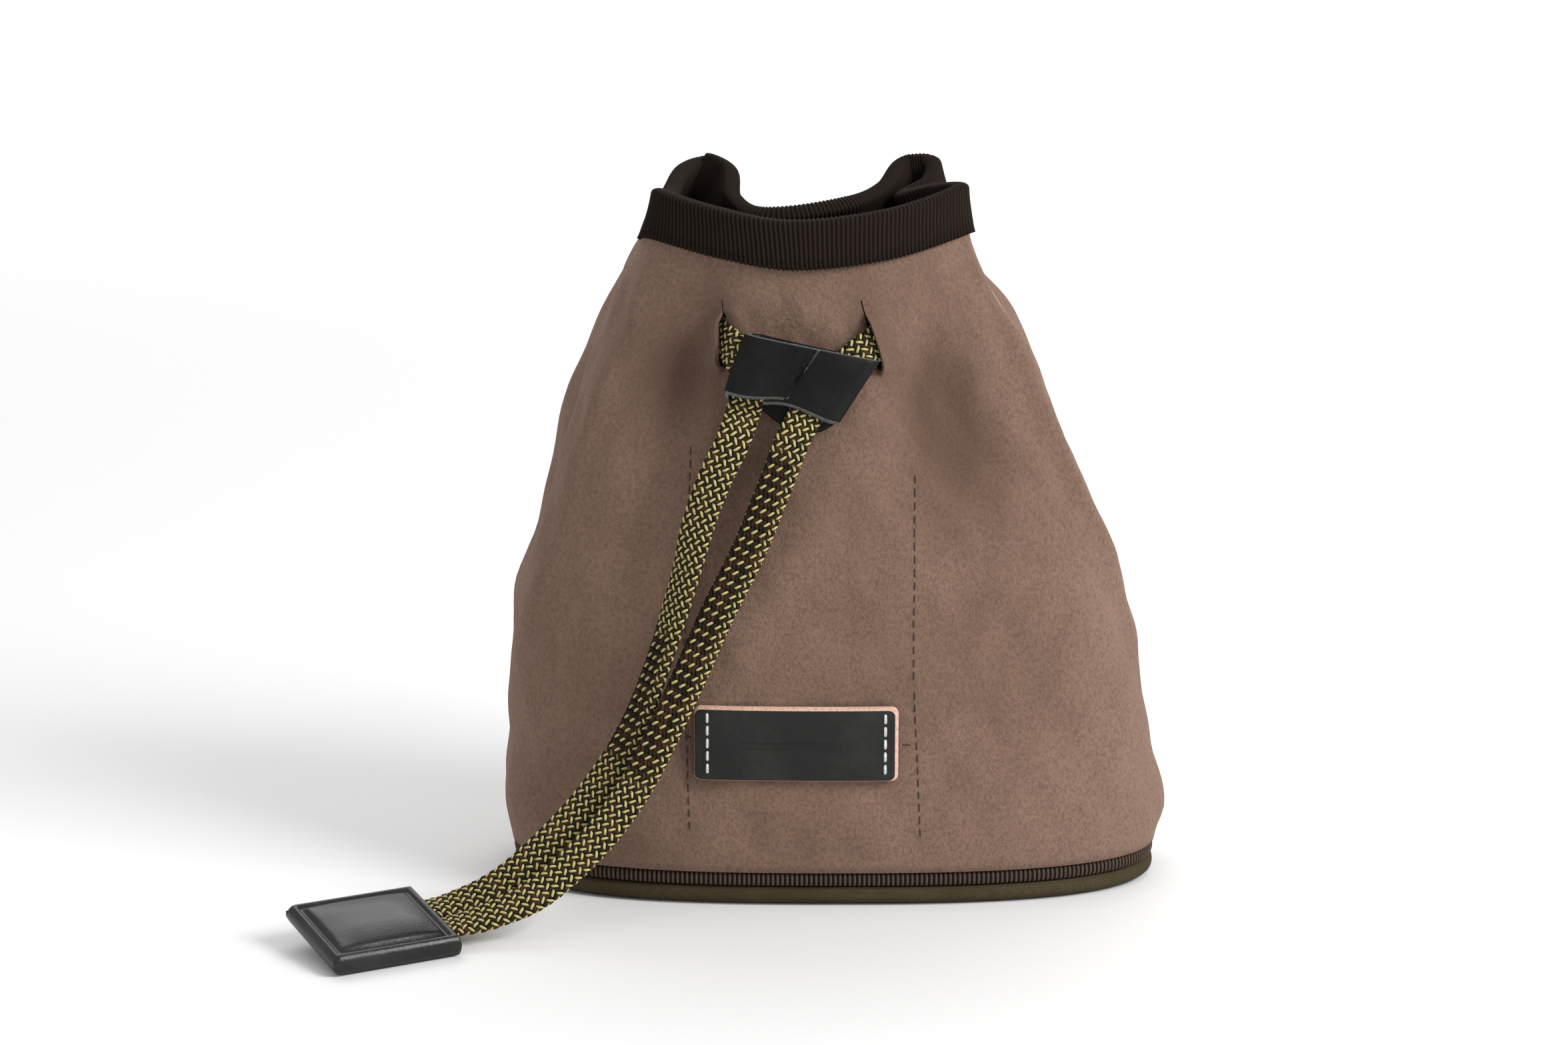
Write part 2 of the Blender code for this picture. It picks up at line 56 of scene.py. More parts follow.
# The studio
# A plain pale floor in a white room, a broad key lamp at the right, a weak fill at the left, and a wide lamp over
# the floor behind, which keeps the background pale.
FLOOR_HALF = 9.0
FLOOR_BELOW = 0.15 * MM
floor_mesh = bpy.data.meshes.new("floor")
floor_corners = [(x * FLOOR_HALF, y * FLOOR_HALF, 0) for x, y in ((-1, -1), (1, -1), (1, 1), (-1, 1))]
floor_mesh.from_pydata(floor_corners, [], [(0, 1, 2, 3)])
floor = bpy.data.objects.new("floor", floor_mesh)
floor.location.z = -FLOOR_BELOW
bpy.context.scene.collection.objects.link(floor)
floor_paint = bpy.data.materials.new("pale floor")
floor_paint.use_nodes = True
floor_shader = floor_paint.node_tree.nodes["Principled BSDF"]
floor_shader.inputs["Base Color"].default_value = (0.86, 0.86, 0.86, 1)
floor_shader.inputs["Roughness"].default_value = 0.9
floor_mesh.materials.append(floor_paint)

Lamp = namedtuple("Lamp", "name place aim power size")
LAMPS = (
    Lamp("key lamp", (1.0, -0.62, 0.85), (0, 0, 0.08), 18.0, 0.6),
    Lamp("fill lamp", (-0.9, -1.1, 0.7), (0, 0, 0.08), 1.5, 1.0),
    Lamp("background lamp", (0.0, 4.0, 3.0), (0, 4.0, 0), 150.0, 5.0),
)
for lamp in LAMPS:
    light = bpy.data.lights.new(lamp.name, "AREA")
    light.energy = lamp.power
    light.size = lamp.size
    made = bpy.data.objects.new(lamp.name, light)
    made.location = lamp.place
    made.rotation_euler = (Vector(lamp.place) - Vector(lamp.aim)).to_track_quat("Z", "Y").to_euler()
    bpy.context.scene.collection.objects.link(made)
room = bpy.data.worlds.new("white room")
room.use_nodes = True
room.node_tree.nodes["Background"].inputs["Color"].default_value = (1, 1, 1, 1)
room.node_tree.nodes["Background"].inputs["Strength"].default_value = 0.55
bpy.context.scene.world = room
bpy.context.scene.view_settings.view_transform = "Standard"

# The cord's way
# One flat braided cord: out of a slit on each side of the neck, through the slider, down and out to the tab. Inside
# the neck it lies round the suede, so the wall's form comes first, from the tables that the frame was built with.
BODY_WIDTH = 165.5 * MM
BODY_DEPTH = 80 * MM
BODY_HEIGHT = 175 * MM
MOUTH_WIDTH = 73 * MM
MOUTH_DEPTH = 68 * MM
MOUTH_ASIDE = -6 * MM
MOUTH_BACK = -1 * MM
STAND_BACK = 0.9 * MM
WALL = 1.6 * MM
GAP = 0.3 * MM
FRONT_GAP = 0.6 * MM
LEATHER = 1.3 * MM
PANEL_THICK = 4.5 * MM
PIPING_HEIGHT = 3.3 * MM
SEAM_HEIGHT = PANEL_THICK + PIPING_HEIGHT + 2 * GAP
CORD_WIDTH = 8.5 * MM
CORD_THICK = 3.0 * MM
CORD_CLEAR = 0.35 * MM
CORD_INSIDE_GAP = 0.7 * MM
CORD_SPACING = 9.8 * MM
CORD_UNDER = -(WALL + CORD_INSIDE_GAP + CORD_THICK / 2)
CORD_OVER = FRONT_GAP + LEATHER + CORD_CLEAR + CORD_THICK / 2

# The bound rim, a row for each bend, counterclockwise from the middle of the front. share is the way round the wall;
# x and y are shares of the mouth's width and depth from its middle, and z is a share of the body's height.
Bend = namedtuple("Bend", "name share x y z")
RIM = (
    Bend("front_middle", 0.000, -0.07, -0.50, 0.945),
    Bend("front_right", 0.085, 0.25, -0.43, 0.957),
    Bend("right_corner", 0.165, 0.50, -0.19, 0.983),
    Bend("right_tuck", 0.205, 0.43, 0.00, 0.977),
    Bend("right_valley", 0.250, 0.32, 0.15, 0.963),
    Bend("right_ear_outside", 0.295, 0.42, 0.32, 0.980),
    Bend("right_ear", 0.335, 0.43, 0.48, 1.000),
    Bend("right_ear_inside", 0.370, 0.32, 0.49, 0.997),
    Bend("right_back", 0.420, 0.24, 0.22, 0.971),
    Bend("back_right", 0.470, 0.12, -0.02, 0.960),
    Bend("back_left", 0.545, -0.14, -0.13, 0.949),
    Bend("left_back", 0.610, -0.25, 0.10, 0.960),
    Bend("left_ear_inside", 0.655, -0.27, 0.38, 0.989),
    Bend("left_ear", 0.690, -0.365, 0.50, 1.000),
    Bend("left_ear_outside", 0.725, -0.445, 0.38, 0.990),
    Bend("left_side", 0.780, -0.485, 0.07, 0.966),
    Bend("left_corner", 0.845, -0.50, -0.22, 0.977),
    Bend("front_left", 0.920, -0.315, -0.42, 0.960),
)

# The wall's sections, from the base seam up. rise is a share of the wall's height; width, depth and aside are shares
# of the base's width and depth; mouth says how far the section has taken the rim's form; square is the exponent of
# its rounded oblong.
Section = namedtuple("Section", "rise width depth aside mouth square")
SECTIONS = (
    Section(0.00, 0.980, 1.000, 0.000, 0.00, 2.7),
    Section(0.06, 1.000, 1.000, 0.000, 0.00, 2.8),
    Section(0.17, 0.970, 0.960, -0.006, 0.00, 2.9),
    Section(0.38, 0.932, 0.935, -0.018, 0.00, 3.0),
    Section(0.50, 0.872, 0.930, -0.020, 0.03, 3.0),
    Section(0.69, 0.788, 0.914, -0.036, 0.15, 2.8),
    Section(0.80, 0.729, 0.888, -0.030, 0.28, 2.6),
    Section(0.90, 0.670, 0.861, -0.050, 0.58, 2.5),
    Section(1.00, 0.611, 0.843, -0.050, 1.00, 2.4),
)

# Dents and swellings: where they are, how far they spread, and how deep, as a share of the depth.
Dent = namedtuple("Dent", "name share spread rise reach depth")
DENTS = (
    Dent("right_hollow", 0.105, 0.030, 0.68, 0.13, 0.060),
    Dent("left_hollow", 0.900, 0.030, 0.76, 0.11, 0.050),
    Dent("front_belly", 0.000, 0.090, 0.38, 0.24, -0.030),
    Dent("left_crease", 0.765, 0.022, 0.62, 0.16, 0.045),
    Dent("right_crease", 0.235, 0.022, 0.56, 0.18, 0.040),
    Dent("back_hollow", 0.500, 0.070, 0.78, 0.16, 0.070),
    Dent("back_left_crease", 0.640, 0.022, 0.60, 0.18, 0.050),
    Dent("back_right_crease", 0.370, 0.022, 0.58, 0.18, 0.050),
)

# Long soft folds of the suede, each from a low place to a high one. depth is inward, in millimetres.
FOLD_FADE_LOW = 0.45
FOLD_FADE_HIGH = 0.30
Fold = namedtuple("Fold", "name share_low rise_low share_high rise_high spread depth")
FOLDS = (
    Fold("right_ridge", 0.222, 0.22, 0.160, 0.97, 0.009, -3.2),
    Fold("behind_right_ridge", 0.252, 0.26, 0.190, 0.95, 0.017, 3.6),
    Fold("right_front_hollow", 0.052, 0.46, 0.088, 0.84, 0.020, 2.2),
    Fold("left_shoulder", 0.872, 0.40, 0.912, 0.90, 0.016, 2.0),
    Fold("left_ridge", 0.800, 0.30, 0.850, 0.96, 0.012, -1.4),
    Fold("back_left_pleat", 0.600, 0.45, 0.612, 0.98, 0.010, 1.8),
    Fold("back_right_pleat", 0.430, 0.42, 0.425, 0.98, 0.010, 1.8),
    Fold("back_middle_ridge", 0.520, 0.50, 0.510, 0.96, 0.012, -1.0),
)


def column(rows, name, at, key="rise"):
    """The smooth curve through a table's column, at many values of the table's rise or share."""
    keys = np.array([getattr(row, key) for row in rows])
    values = np.array([getattr(row, name) for row in rows])
    if key == "share":
        at = np.mod(at, 1)
        keys = np.concatenate([keys[-2:] - 1, keys, keys[:2] + 1])
        values = np.concatenate([values[-2:], values, values[:2]])
    rows_in = np.arange(len(keys))
    low = np.maximum(rows_in - 1, 0)
    high = np.minimum(rows_in + 1, len(keys) - 1)
    slope = (values[high] - values[low]) / (keys[high] - keys[low])
    i = np.clip(np.searchsorted(keys, at, side="right") - 1, 0, len(keys) - 2)
    span = keys[i + 1] - keys[i]
    f = np.clip((at - keys[i]) / span, 0, 1)
    return (
        (2 * f**3 - 3 * f**2 + 1) * values[i]
        + (f**3 - 2 * f**2 + f) * span * slope[i]
        + (3 * f**2 - 2 * f**3) * values[i + 1]
        + (f**3 - f**2) * span * slope[i + 1]
    )


def oblong(angle, square):
    """Points of the rounded oblong of half-width and half-depth 1."""
    c, s = np.cos(angle), np.sin(angle)
    return np.sign(c) * np.abs(c) ** (2 / square), np.sign(s) * np.abs(s) ** (2 / square)


def way_along(points):
    """The length along a line of points, from its start."""
    steps = np.linalg.norm(np.diff(points, axis=0), axis=1)
    return np.concatenate([[0], np.cumsum(steps)])


ANGLES = np.linspace(0, 2 * math.pi, 1441) - math.pi / 2
foot_x, foot_y = oblong(ANGLES, SECTIONS[0].square)
SHARES = way_along(np.stack([foot_x * BODY_WIDTH, foot_y * BODY_DEPTH], 1))
SHARES = SHARES / SHARES[-1]


def unit(vectors):
    return vectors / np.maximum(np.linalg.norm(vectors, axis=-1, keepdims=True), 1e-12)


def smoothly(value):
    value = np.clip(value, 0, 1)
    return value * value * (3 - 2 * value)


def rim_height(share):
    return BODY_HEIGHT * column(RIM, "z", share, "share")


def smooth_wall(share, rise):
    """The wall's outer face before its dents."""
    share, rise = np.broadcast_arrays(np.asarray(share, float), np.asarray(rise, float))
    square = column(SECTIONS, "square", rise)
    mouth = column(SECTIONS, "mouth", rise)
    x, y = oblong(np.interp(np.mod(share, 1), SHARES, ANGLES), square)
    x = BODY_WIDTH * (column(SECTIONS, "aside", rise) + x * column(SECTIONS, "width", rise) / 2)
    y = BODY_DEPTH * y * column(SECTIONS, "depth", rise) / 2
    rim_x = MOUTH_ASIDE + MOUTH_WIDTH * column(RIM, "x", share, "share")
    rim_y = MOUTH_BACK + MOUTH_DEPTH * column(RIM, "y", share, "share")
    z = SEAM_HEIGHT + rise * (rim_height(share) - SEAM_HEIGHT)
    return np.stack([x + mouth * (rim_x - x), y + mouth * (rim_y - y) + STAND_BACK, z], -1)


def round_from(share, middle):
    """How far round the wall a share lies from a middle, either way."""
    return np.mod(share - middle + 0.5, 1) - 0.5


def dented_wall(share, rise):
    """The wall's outer face with its dents and folds."""
    share, rise = np.broadcast_arrays(np.asarray(share, float), np.asarray(rise, float))
    step = 0.004
    along = smooth_wall(share + step, rise) - smooth_wall(share - step, rise)
    inward = unit(np.stack([-along[..., 1], along[..., 0], 0 * share], -1))
    depth = np.zeros(share.shape)
    for dent in DENTS:
        fall = (round_from(share, dent.share) / dent.spread) ** 2 + ((rise - dent.rise) / dent.reach) ** 2
        depth += dent.depth * BODY_DEPTH * np.exp(-fall)
    for fold in FOLDS:
        f = (rise - fold.rise_low) / (fold.rise_high - fold.rise_low)
        line = fold.share_low + (fold.share_high - fold.share_low) * np.clip(f, 0, 1)
        ends = smoothly(f / FOLD_FADE_LOW) * smoothly((1 - f) / FOLD_FADE_HIGH)
        depth += fold.depth * MM * ends * np.exp(-((round_from(share, line) / fold.spread) ** 2))
    return smooth_wall(share, rise) + depth[..., None] * inward


def wall_frame(share, rise):
    """The points of the wall's outer face, their outward directions and their upward ones."""
    share, rise = np.broadcast_arrays(np.asarray(share, float), np.asarray(rise, float))
    step = 0.003
    along = dented_wall(share + step, rise) - dented_wall(share - step, rise)
    up = unit(dented_wall(share, np.minimum(rise + 0.01, 1)) - dented_wall(share, np.maximum(rise - 0.01, 0)))
    return dented_wall(share, rise), unit(np.cross(along, up)), up


def wall(share, rise, out=0.0, rim_drop=None):
    """Points out from the wall's face. rim_drop measures them down from the rim instead of by rise."""
    lift = 0.0
    if rim_drop is not None:
        rise = 1 - np.maximum(rim_drop, 0) / (rim_height(share) - SEAM_HEIGHT)
        lift = np.maximum(-np.asarray(rim_drop, float), 0)
    point, normal, up = wall_frame(share, rise)
    return point + np.asarray(out)[..., None] * normal + np.asarray(lift)[..., None] * up


def front_place(x, z):
    """The share and rise at which the front of the wall has this x and height."""
    x, z = np.broadcast_arrays(np.asarray(x, float), np.asarray(z, float))
    share = x / (2.7 * BODY_WIDTH)
    for _ in range(12):
        rise = (z - SEAM_HEIGHT) / (rim_height(share) - SEAM_HEIGHT)
        here = dented_wall(share, rise)[..., 0]
        slope = (dented_wall(share + 0.002, rise)[..., 0] - here) / 0.002
        share = share + (x - here) / slope
    return share, rise


# The cord's way out of the neck on each side, from inside the wall to below the slider: x and height in millimetres
# and out, from 0 inside the wall to 1 under the slider.
Step = namedtuple("Step", "x z out")
LEFT_NECK = (
    Step(-36.0, 140.2, 0.00),
    Step(-30.4, 139.0, 0.12),
    Step(-26.2, 137.4, 0.48),
    Step(-22.8, 134.9, 0.86),
    Step(-20.4, 131.0, 1.00),
    Step(-20.1, 126.4, 1.00),
    Step(-21.6, 121.4, 0.98),
)
RIGHT_NECK = (
    Step(18.2, 139.9, 0.00),
    Step(12.9, 138.8, 0.12),
    Step(8.8, 137.0, 0.48),
    Step(4.8, 134.4, 0.86),
    Step(0.8, 130.8, 1.00),
    Step(-3.2, 126.4, 1.00),
    Step(-6.7, 121.6, 0.98),
)

# The loose tails, in millimetres from the slider to the tab. turn is how far the flat face turns about the upright,
# and lean how far it tips from facing the front to facing up, in degrees.
Lay = namedtuple("Lay", "x y z turn lean")
LEFT_TAIL = (
    Lay(-24.6, -43.2, 115.2, 0, 0),
    Lay(-28.8, -43.8, 106.5, 8, 0),
    Lay(-32.8, -44.4, 95.5, 25, 0),
    Lay(-36.4, -45.4, 81.5, 45, 0),
    Lay(-42.6, -46.0, 61.8, 52, 2),
    Lay(-49.3, -46.8, 44.6, 40, 8),
    Lay(-60.4, -49.8, 28.0, 22, 22),
    Lay(-76.8, -55.8, 12.8, 8, 38),
    Lay(-88.6, -59.0, 7.2, 0, 60),
)
RIGHT_TAIL = (
    Lay(-10.6, -43.6, 115.2, 0, 0),
    Lay(-14.4, -44.2, 105.3, 0, 0),
    Lay(-20.7, -45.4, 89.7, 5, 0),
    Lay(-28.4, -47.2, 74.2, 10, 2),
    Lay(-34.6, -49.0, 60.3, 10, 6),
    Lay(-40.9, -51.9, 47.1, 10, 14),
    Lay(-48.0, -55.0, 33.7, 8, 22),
    Lay(-57.3, -58.2, 21.6, 5, 30),
    Lay(-69.5, -63.4, 11.4, 0, 40),
    Lay(-80.6, -67.0, 6.6, 0, 60),
)
TAB_LENGTH = 32 * MM
TAB_WIDTH = 29 * MM
TAB_THICK = 5.0 * MM
TAB_GRIP = 13 * MM
TAB_PLACE = np.array([-94.6 * MM, -65.4 * MM + STAND_BACK, 0])
TAB_TURN = math.radians(210)
TAB_TILT = math.radians(10)
TAB_AHEAD = np.array([math.cos(TAB_TURN), math.sin(TAB_TURN), 0])
TAB_ASIDE = np.array([-math.sin(TAB_TURN) * math.cos(TAB_TILT), math.cos(TAB_TURN) * math.cos(TAB_TILT),
                      -math.sin(TAB_TILT)])
TAB_UP = np.cross(TAB_AHEAD, TAB_ASIDE)
TAB_LIFTED = TAB_PLACE + np.array([0, 0, TAB_WIDTH / 2 * math.sin(TAB_TILT)])
RING_STATIONS = 36


def tab_point(ahead, aside, up):
    """Points of the tab, from the edge where the cord goes in, its middle line and its underside."""
    ahead, aside, up = (np.asarray(v, float)[..., None] for v in (ahead, aside, up))
    return TAB_LIFTED + ahead * TAB_AHEAD + aside * TAB_ASIDE + up * TAB_UP


def free_stations(neck, tail, side):
    """The cord's points and the ways that its flat face looks, from inside the neck to its end in the tab."""
    x, z, out = np.array(neck).T
    share, rise = front_place(x * MM, z * MM)
    point, normal, _ = wall_frame(share, rise)
    points = list(point + (CORD_UNDER + out * (CORD_OVER - CORD_UNDER))[:, None] * normal)
    faces = list(normal)
    for lay in tail:
        turn, lean = math.radians(lay.turn), math.radians(lay.lean)
        points.append(np.array([lay.x * MM, lay.y * MM + STAND_BACK, lay.z * MM]))
        level = math.cos(lean)
        faces.append(np.array([-level * math.sin(turn), -level * math.cos(turn), math.sin(lean)]))
    for way in (0.0, TAB_GRIP):
        points.append(tab_point(way, side * CORD_SPACING / 2, TAB_THICK / 2))
        faces.append(TAB_UP)
    return points, faces


def ring_stations(first, last):
    """The stretch round the inside of the neck, from the left way out, round the back, to the right one."""
    start, start_rise = front_place(first.x * MM, first.z * MM)
    stop, stop_rise = front_place(last.x * MM, last.z * MM)
    f = np.arange(1, RING_STATIONS) / RING_STATIONS
    start = np.mod(start, 1)
    point, normal, _ = wall_frame(start + f * (stop - start), start_rise + f * (stop_rise - start_rise))
    return list(point + CORD_UNDER * normal), list(normal)


def curve_through(points, faces, fine):
    """A smooth line through the stations, with its face directions, fine steps to each."""
    ends = np.array([2 * points[0] - points[1], *points, 2 * points[-1] - points[-2]])
    faces = np.array(faces)
    f = np.arange(fine)[:, None] / fine
    line, turned = [], []
    for i in range(1, len(ends) - 2):
        a, b, c, d = ends[i - 1 : i + 3]
        curved = (2 * a - 5 * b + 4 * c - d) * f**2 + (3 * b - a - 3 * c + d) * f**3
        line.append(0.5 * (2 * b + (c - a) * f + curved))
        turned.append(faces[i - 1] + (faces[i] - faces[i - 1]) * smoothly(f))
    return np.vstack([*line, ends[-2]]), unit(np.vstack([*turned, faces[-1]]))


def resample(line, faces, step):
    """Even slices along a line: their centres, their across and outward directions, and how far along they lie."""
    way = way_along(line)
    count = max(round(way[-1] / step), 1)
    at = np.linspace(0, way[-1], count + 1)
    centre = np.stack([np.interp(at, way, line[:, k]) for k in range(3)], 1)
    face = np.stack([np.interp(at, way, faces[:, k]) for k in range(3)], 1)
    ahead = unit(np.gradient(centre, axis=0))
    across = unit(np.cross(ahead, face))
    return centre, across, np.cross(across, ahead), at


left_points, left_faces = free_stations(LEFT_NECK, LEFT_TAIL, -1)
right_points, right_faces = free_stations(RIGHT_NECK, RIGHT_TAIL, 1)
ring_points, ring_faces = ring_stations(LEFT_NECK[0], RIGHT_NECK[0])
CURVE_FINE = 16
whole_line, whole_faces = curve_through(
    left_points[::-1] + ring_points + right_points, left_faces[::-1] + ring_faces + right_faces, CURVE_FINE
)
left_join = CURVE_FINE * (len(left_points) - 1)
right_join = CURVE_FINE * (len(left_points) + len(ring_points))

# The braid
# Sixteen pairs of thin yarns, half going round each way, cross over and under on a dark core. One yarn of a pair is
# yellow-green and its mate dark brown, so the yellow shows as short slanting dashes in rows.
BRAID_PAIRS = 8
BRAID_ROW = 2.7 * MM
BRAID_STEP = 0.45 * MM
CORD_SQUARE = 2.6
YARN_LIFT = 0.27 * MM
YARN_FLATNESS = 1.5
YARN_SINK = 0.52 * MM
YARN_SIDES = 5
YELLOW_HALF = 0.34 * MM
DARK_HALF = 0.52 * MM
YARN_HALF_THICK = 0.27 * MM
CORE_SHARE = 0.80
CORE_SIDES = 24

# Both ways of yarn are yellow near the slider, near the tab and along one edge; between them only one way is.
BASKET_LEFT = 92 * MM
BASKET_RIGHT = 46 * MM
BASKET_BY_TAB = 75 * MM
BASKET_UNEVEN = 4 * MM
BASKET_FADE = 3 * MM
EDGE_FROM = 0.50
EDGE_FADE = 0.15
YELLOW_YARN = (0.36, 0.30, 0.095, 1)
YELLOW_YARN_PALE = (0.55, 0.49, 0.21, 1)
BROWN_YARN = (0.015, 0.0095, 0.0045, 1)
RED_BROWN_YARN = (0.045, 0.019, 0.009, 1)


class Value:
    """A shader socket that can stand in an expression."""

    def __init__(self, finish, socket):
        self.finish = finish
        self.socket = socket

    def math(self, operation, *values):
        return self.finish.node("ShaderNodeMath", {"operation": operation}, dict(enumerate(values)))

    def __add__(self, other):
        return self.math("ADD", self, other)

    def __mul__(self, other):
        return self.math("MULTIPLY", self, other)

    __radd__ = __add__
    __rmul__ = __mul__


class Finish:
    """A material under a maker's name, with one constant value for each socket that is the same all over."""

    def __init__(self, name, **constants):
        self.material = bpy.data.materials.new(name)
        self.material.use_nodes = True
        self.tree = self.material.node_tree
        self.shader = self.tree.nodes["Principled BSDF"]
        for socket, value in constants.items():
            self.shader.inputs[socket.replace("_", " ")].default_value = value

    def node(self, kind, settings=None, inputs=None, output=0):
        """Any node: its settings first, then the values or links of its sockets."""
        made = self.tree.nodes.new(kind)
        for key, value in (settings or {}).items():
            setattr(made, key, value)
        for key, value in (inputs or {}).items():
            if isinstance(value, Value):
                self.tree.links.new(value.socket, made.inputs[key])
            else:
                made.inputs[key].default_value = value
        return Value(self, made.outputs[output])

    def mix(self, mask, first, second):
        """A colour between two, by a mask."""
        return self.node("ShaderNodeMix", {"data_type": "RGBA"}, {0: mask, 6: first, 7: second}, 2)

    def noise(self, per_metre, detail=2.0, rough=0.5, stretch=(1, 1, 1)):
        """Soft noise, of a fineness that is given in waves a metre."""
        place = self.node("ShaderNodeTexCoord", output=3)
        place = self.node("ShaderNodeVectorMath", {"operation": "MULTIPLY"}, {0: place, 1: stretch})
        return self.node(
            "ShaderNodeTexNoise", inputs={"Vector": place, "Scale": per_metre, "Detail": detail, "Roughness": rough}
        )

    def between(self, value, low, high):
        """A value as a mask: 0 below low, 1 above high and smooth between."""
        settings = {"interpolation_type": "SMOOTHSTEP"}
        return self.node("ShaderNodeMapRange", settings, {"Value": value, "From Min": low, "From Max": high})

    def mark(self, name):
        """A value that the mesh carries."""
        return self.node("ShaderNodeAttribute", {"attribute_name": name}, output=2)

    def bump(self, height, distance, strength=1.0):
        """Fine relief, which feeds Normal."""
        return self.node("ShaderNodeBump", inputs={"Height": height, "Distance": distance, "Strength": strength})

    def feed(self, **links):
        """Link what varies over the surface to the shader."""
        for socket, value in links.items():
            self.tree.links.new(value.socket, self.shader.inputs[socket.replace("_", " ")])


def mesh_object(name, points, faces, finishes, marks=None, face_finish=None):
    """An object from points and faces, riding on the pouch, with its finishes and the values that it carries."""
    mesh = bpy.data.meshes.new(name)
    mesh.from_pydata(np.asarray(points).tolist(), [], [list(map(int, face)) for face in faces])
    for finish in finishes:
        mesh.materials.append(finish.material)
    for mark, values in (marks or {}).items():
        mesh.attributes.new(mark, "FLOAT", "POINT").data.foreach_set("value", np.asarray(values, float).ravel())
    if face_finish is not None:
        mesh.polygons.foreach_set("material_index", face_finish)
    mesh.shade_smooth()
    made = bpy.data.objects.new(name, mesh)
    bpy.context.scene.collection.objects.link(made)
    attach(made, "root")
    return made


def tube_faces(rings, sides, start=0):
    """The quads round a tube, and a cap at each end."""
    r = start + np.arange(rings - 1)[:, None] * sides
    s = np.arange(sides)[None, :]
    n = (s + 1) % sides
    quads = np.stack([r + s, r + n, r + sides + n, r + sides + s], -1).reshape(-1, 4).tolist()
    ends = start + np.arange(rings * sides).reshape(rings, sides)
    return [*quads, ends[0, ::-1].tolist(), ends[-1].tolist()]


def tube_rings(line, side, normal, half_wide, half_thick, sides):
    """Rings of an oval tube round a line."""
    angle = 2 * math.pi * np.arange(sides) / sides
    return (
        line[:, None]
        + side[:, None] * (half_wide * np.cos(angle))[None, :, None]
        + normal[:, None] * (half_thick * np.sin(angle))[None, :, None]
    )


def cord_section(half_wide, half_thick):
    """The flat cord's outline by share of its way round: across, outward, and the way that it faces."""
    x, y = oblong(np.linspace(0, 2 * math.pi, 721), CORD_SQUARE)
    outline = np.stack([x * half_wide, y * half_thick], 1)
    way = way_along(outline)
    tangent = unit(np.gradient(outline, axis=0))
    return way / way[-1], outline, np.stack([tangent[:, 1], -tangent[:, 0]], 1)


def braid(name, slices, basket, finish):
    """A length of the flat braid along its slices. basket is how far from the start both ways of yarn are yellow."""
    centre, across, outward, at = slices
    half_wide = CORD_WIDTH / 2 - YARN_SINK
    half_thick = CORD_THICK / 2 - YARN_SINK
    shares, outline, facing = cord_section(half_wide, half_thick)
    cross = np.cos(2 * math.pi * at / BRAID_ROW)
    points, faces, colour, height = [], [], [], []
    count = 0
    chance = np.random.default_rng(7)
    for way in (1, -1):
        lift = YARN_LIFT * way * np.clip(YARN_FLATNESS * cross, -1, 1)
        for pair in range(BRAID_PAIRS):
            basket_end = basket + chance.uniform(-1, 1) * BASKET_UNEVEN
            for mate, half in ((1, YELLOW_HALF), (-1, DARK_HALF)):
                phi = np.mod((way * at / BRAID_ROW + pair + mate / 4) / BRAID_PAIRS, 1)
                x, y = (np.interp(phi, shares, outline[:, k]) for k in range(2))
                face_x, face_y = (np.interp(phi, shares, facing[:, k]) for k in range(2))
                line = centre + across * (x + face_x * lift)[:, None] + outward * (y + face_y * lift)[:, None]
                normal = unit(across * face_x[:, None] + outward * face_y[:, None])
                side = unit(np.cross(normal, unit(np.gradient(line, axis=0))))
                rings = tube_rings(line, side, normal, half, YARN_HALF_THICK, YARN_SIDES)
                points.append(rings.reshape(-1, 3))
                faces += tube_faces(len(at), YARN_SIDES, count)
                count += len(at) * YARN_SIDES
                if mate == -1:
                    shown = 0 * at
                elif way == -1:
                    shown = 0 * at + 1
                else:
                    by_slider = smoothly((basket_end - at) / BASKET_FADE)
                    by_tab = smoothly((at - at[-1] + BASKET_BY_TAB) / (2 * BASKET_FADE))
                    at_edge = smoothly((-x / (CORD_WIDTH / 2) - EDGE_FROM) / EDGE_FADE)
                    shown = np.maximum(np.maximum(by_slider, by_tab), at_edge)
                colour.append(np.repeat(shown, YARN_SIDES))
                # How high the yarn rides, which the finish paints as light on top and shade where it dips under.
                height.append(np.repeat(0.5 + 0.5 * way * cross, YARN_SIDES))
    x, y = oblong(2 * math.pi * (np.arange(CORE_SIDES) + 0.5) / CORE_SIDES, CORD_SQUARE)
    core_x = (CORE_SHARE * half_wide * x)[None, :, None]
    core_y = (CORE_SHARE * half_thick * y)[None, :, None]
    core = centre[:, None] + across[:, None] * core_x + outward[:, None] * core_y
    points.append(core.reshape(-1, 3))
    faces += tube_faces(len(at), CORE_SIDES, count)
    colour.append(np.zeros(len(at) * CORE_SIDES))
    height.append(np.zeros(len(at) * CORE_SIDES))
    marks = {"yellow": np.concatenate(colour), "height": np.concatenate(height)}
    return mesh_object(name, np.vstack(points), faces, [finish], marks)


braid_finish = Finish("brown and yellow braid", Roughness=0.7, Specular_IOR_Level=0.15)
yellow = braid_finish.mark("yellow")
yarn_height = braid_finish.mark("height")
fibres = braid_finish.noise(5200, 2.0, 0.6)
shade = braid_finish.noise(420, 2.0, 0.5)
# Painted light and shade: the yellow yarn is paler where it rides over a crossing, with fine fibre tone besides, and
# turns dark brown where it dips under one.
pale = braid_finish.between(fibres + yarn_height * 0.35, 0.45, 0.95)
yellow_tone = braid_finish.mix(pale, YELLOW_YARN, YELLOW_YARN_PALE)
brown_tone = braid_finish.mix(braid_finish.between(shade, 0.48, 0.62), BROWN_YARN, RED_BROWN_YARN)
yellow_shaded_under = braid_finish.mix(braid_finish.between(yarn_height, 0.0, 0.45), BROWN_YARN, yellow_tone)
braid_finish.feed(
    Base_Color=braid_finish.mix(yellow, brown_tone, yellow_shaded_under),
    Normal=braid_finish.bump(fibres, 0.12 * MM, 0.8),
)

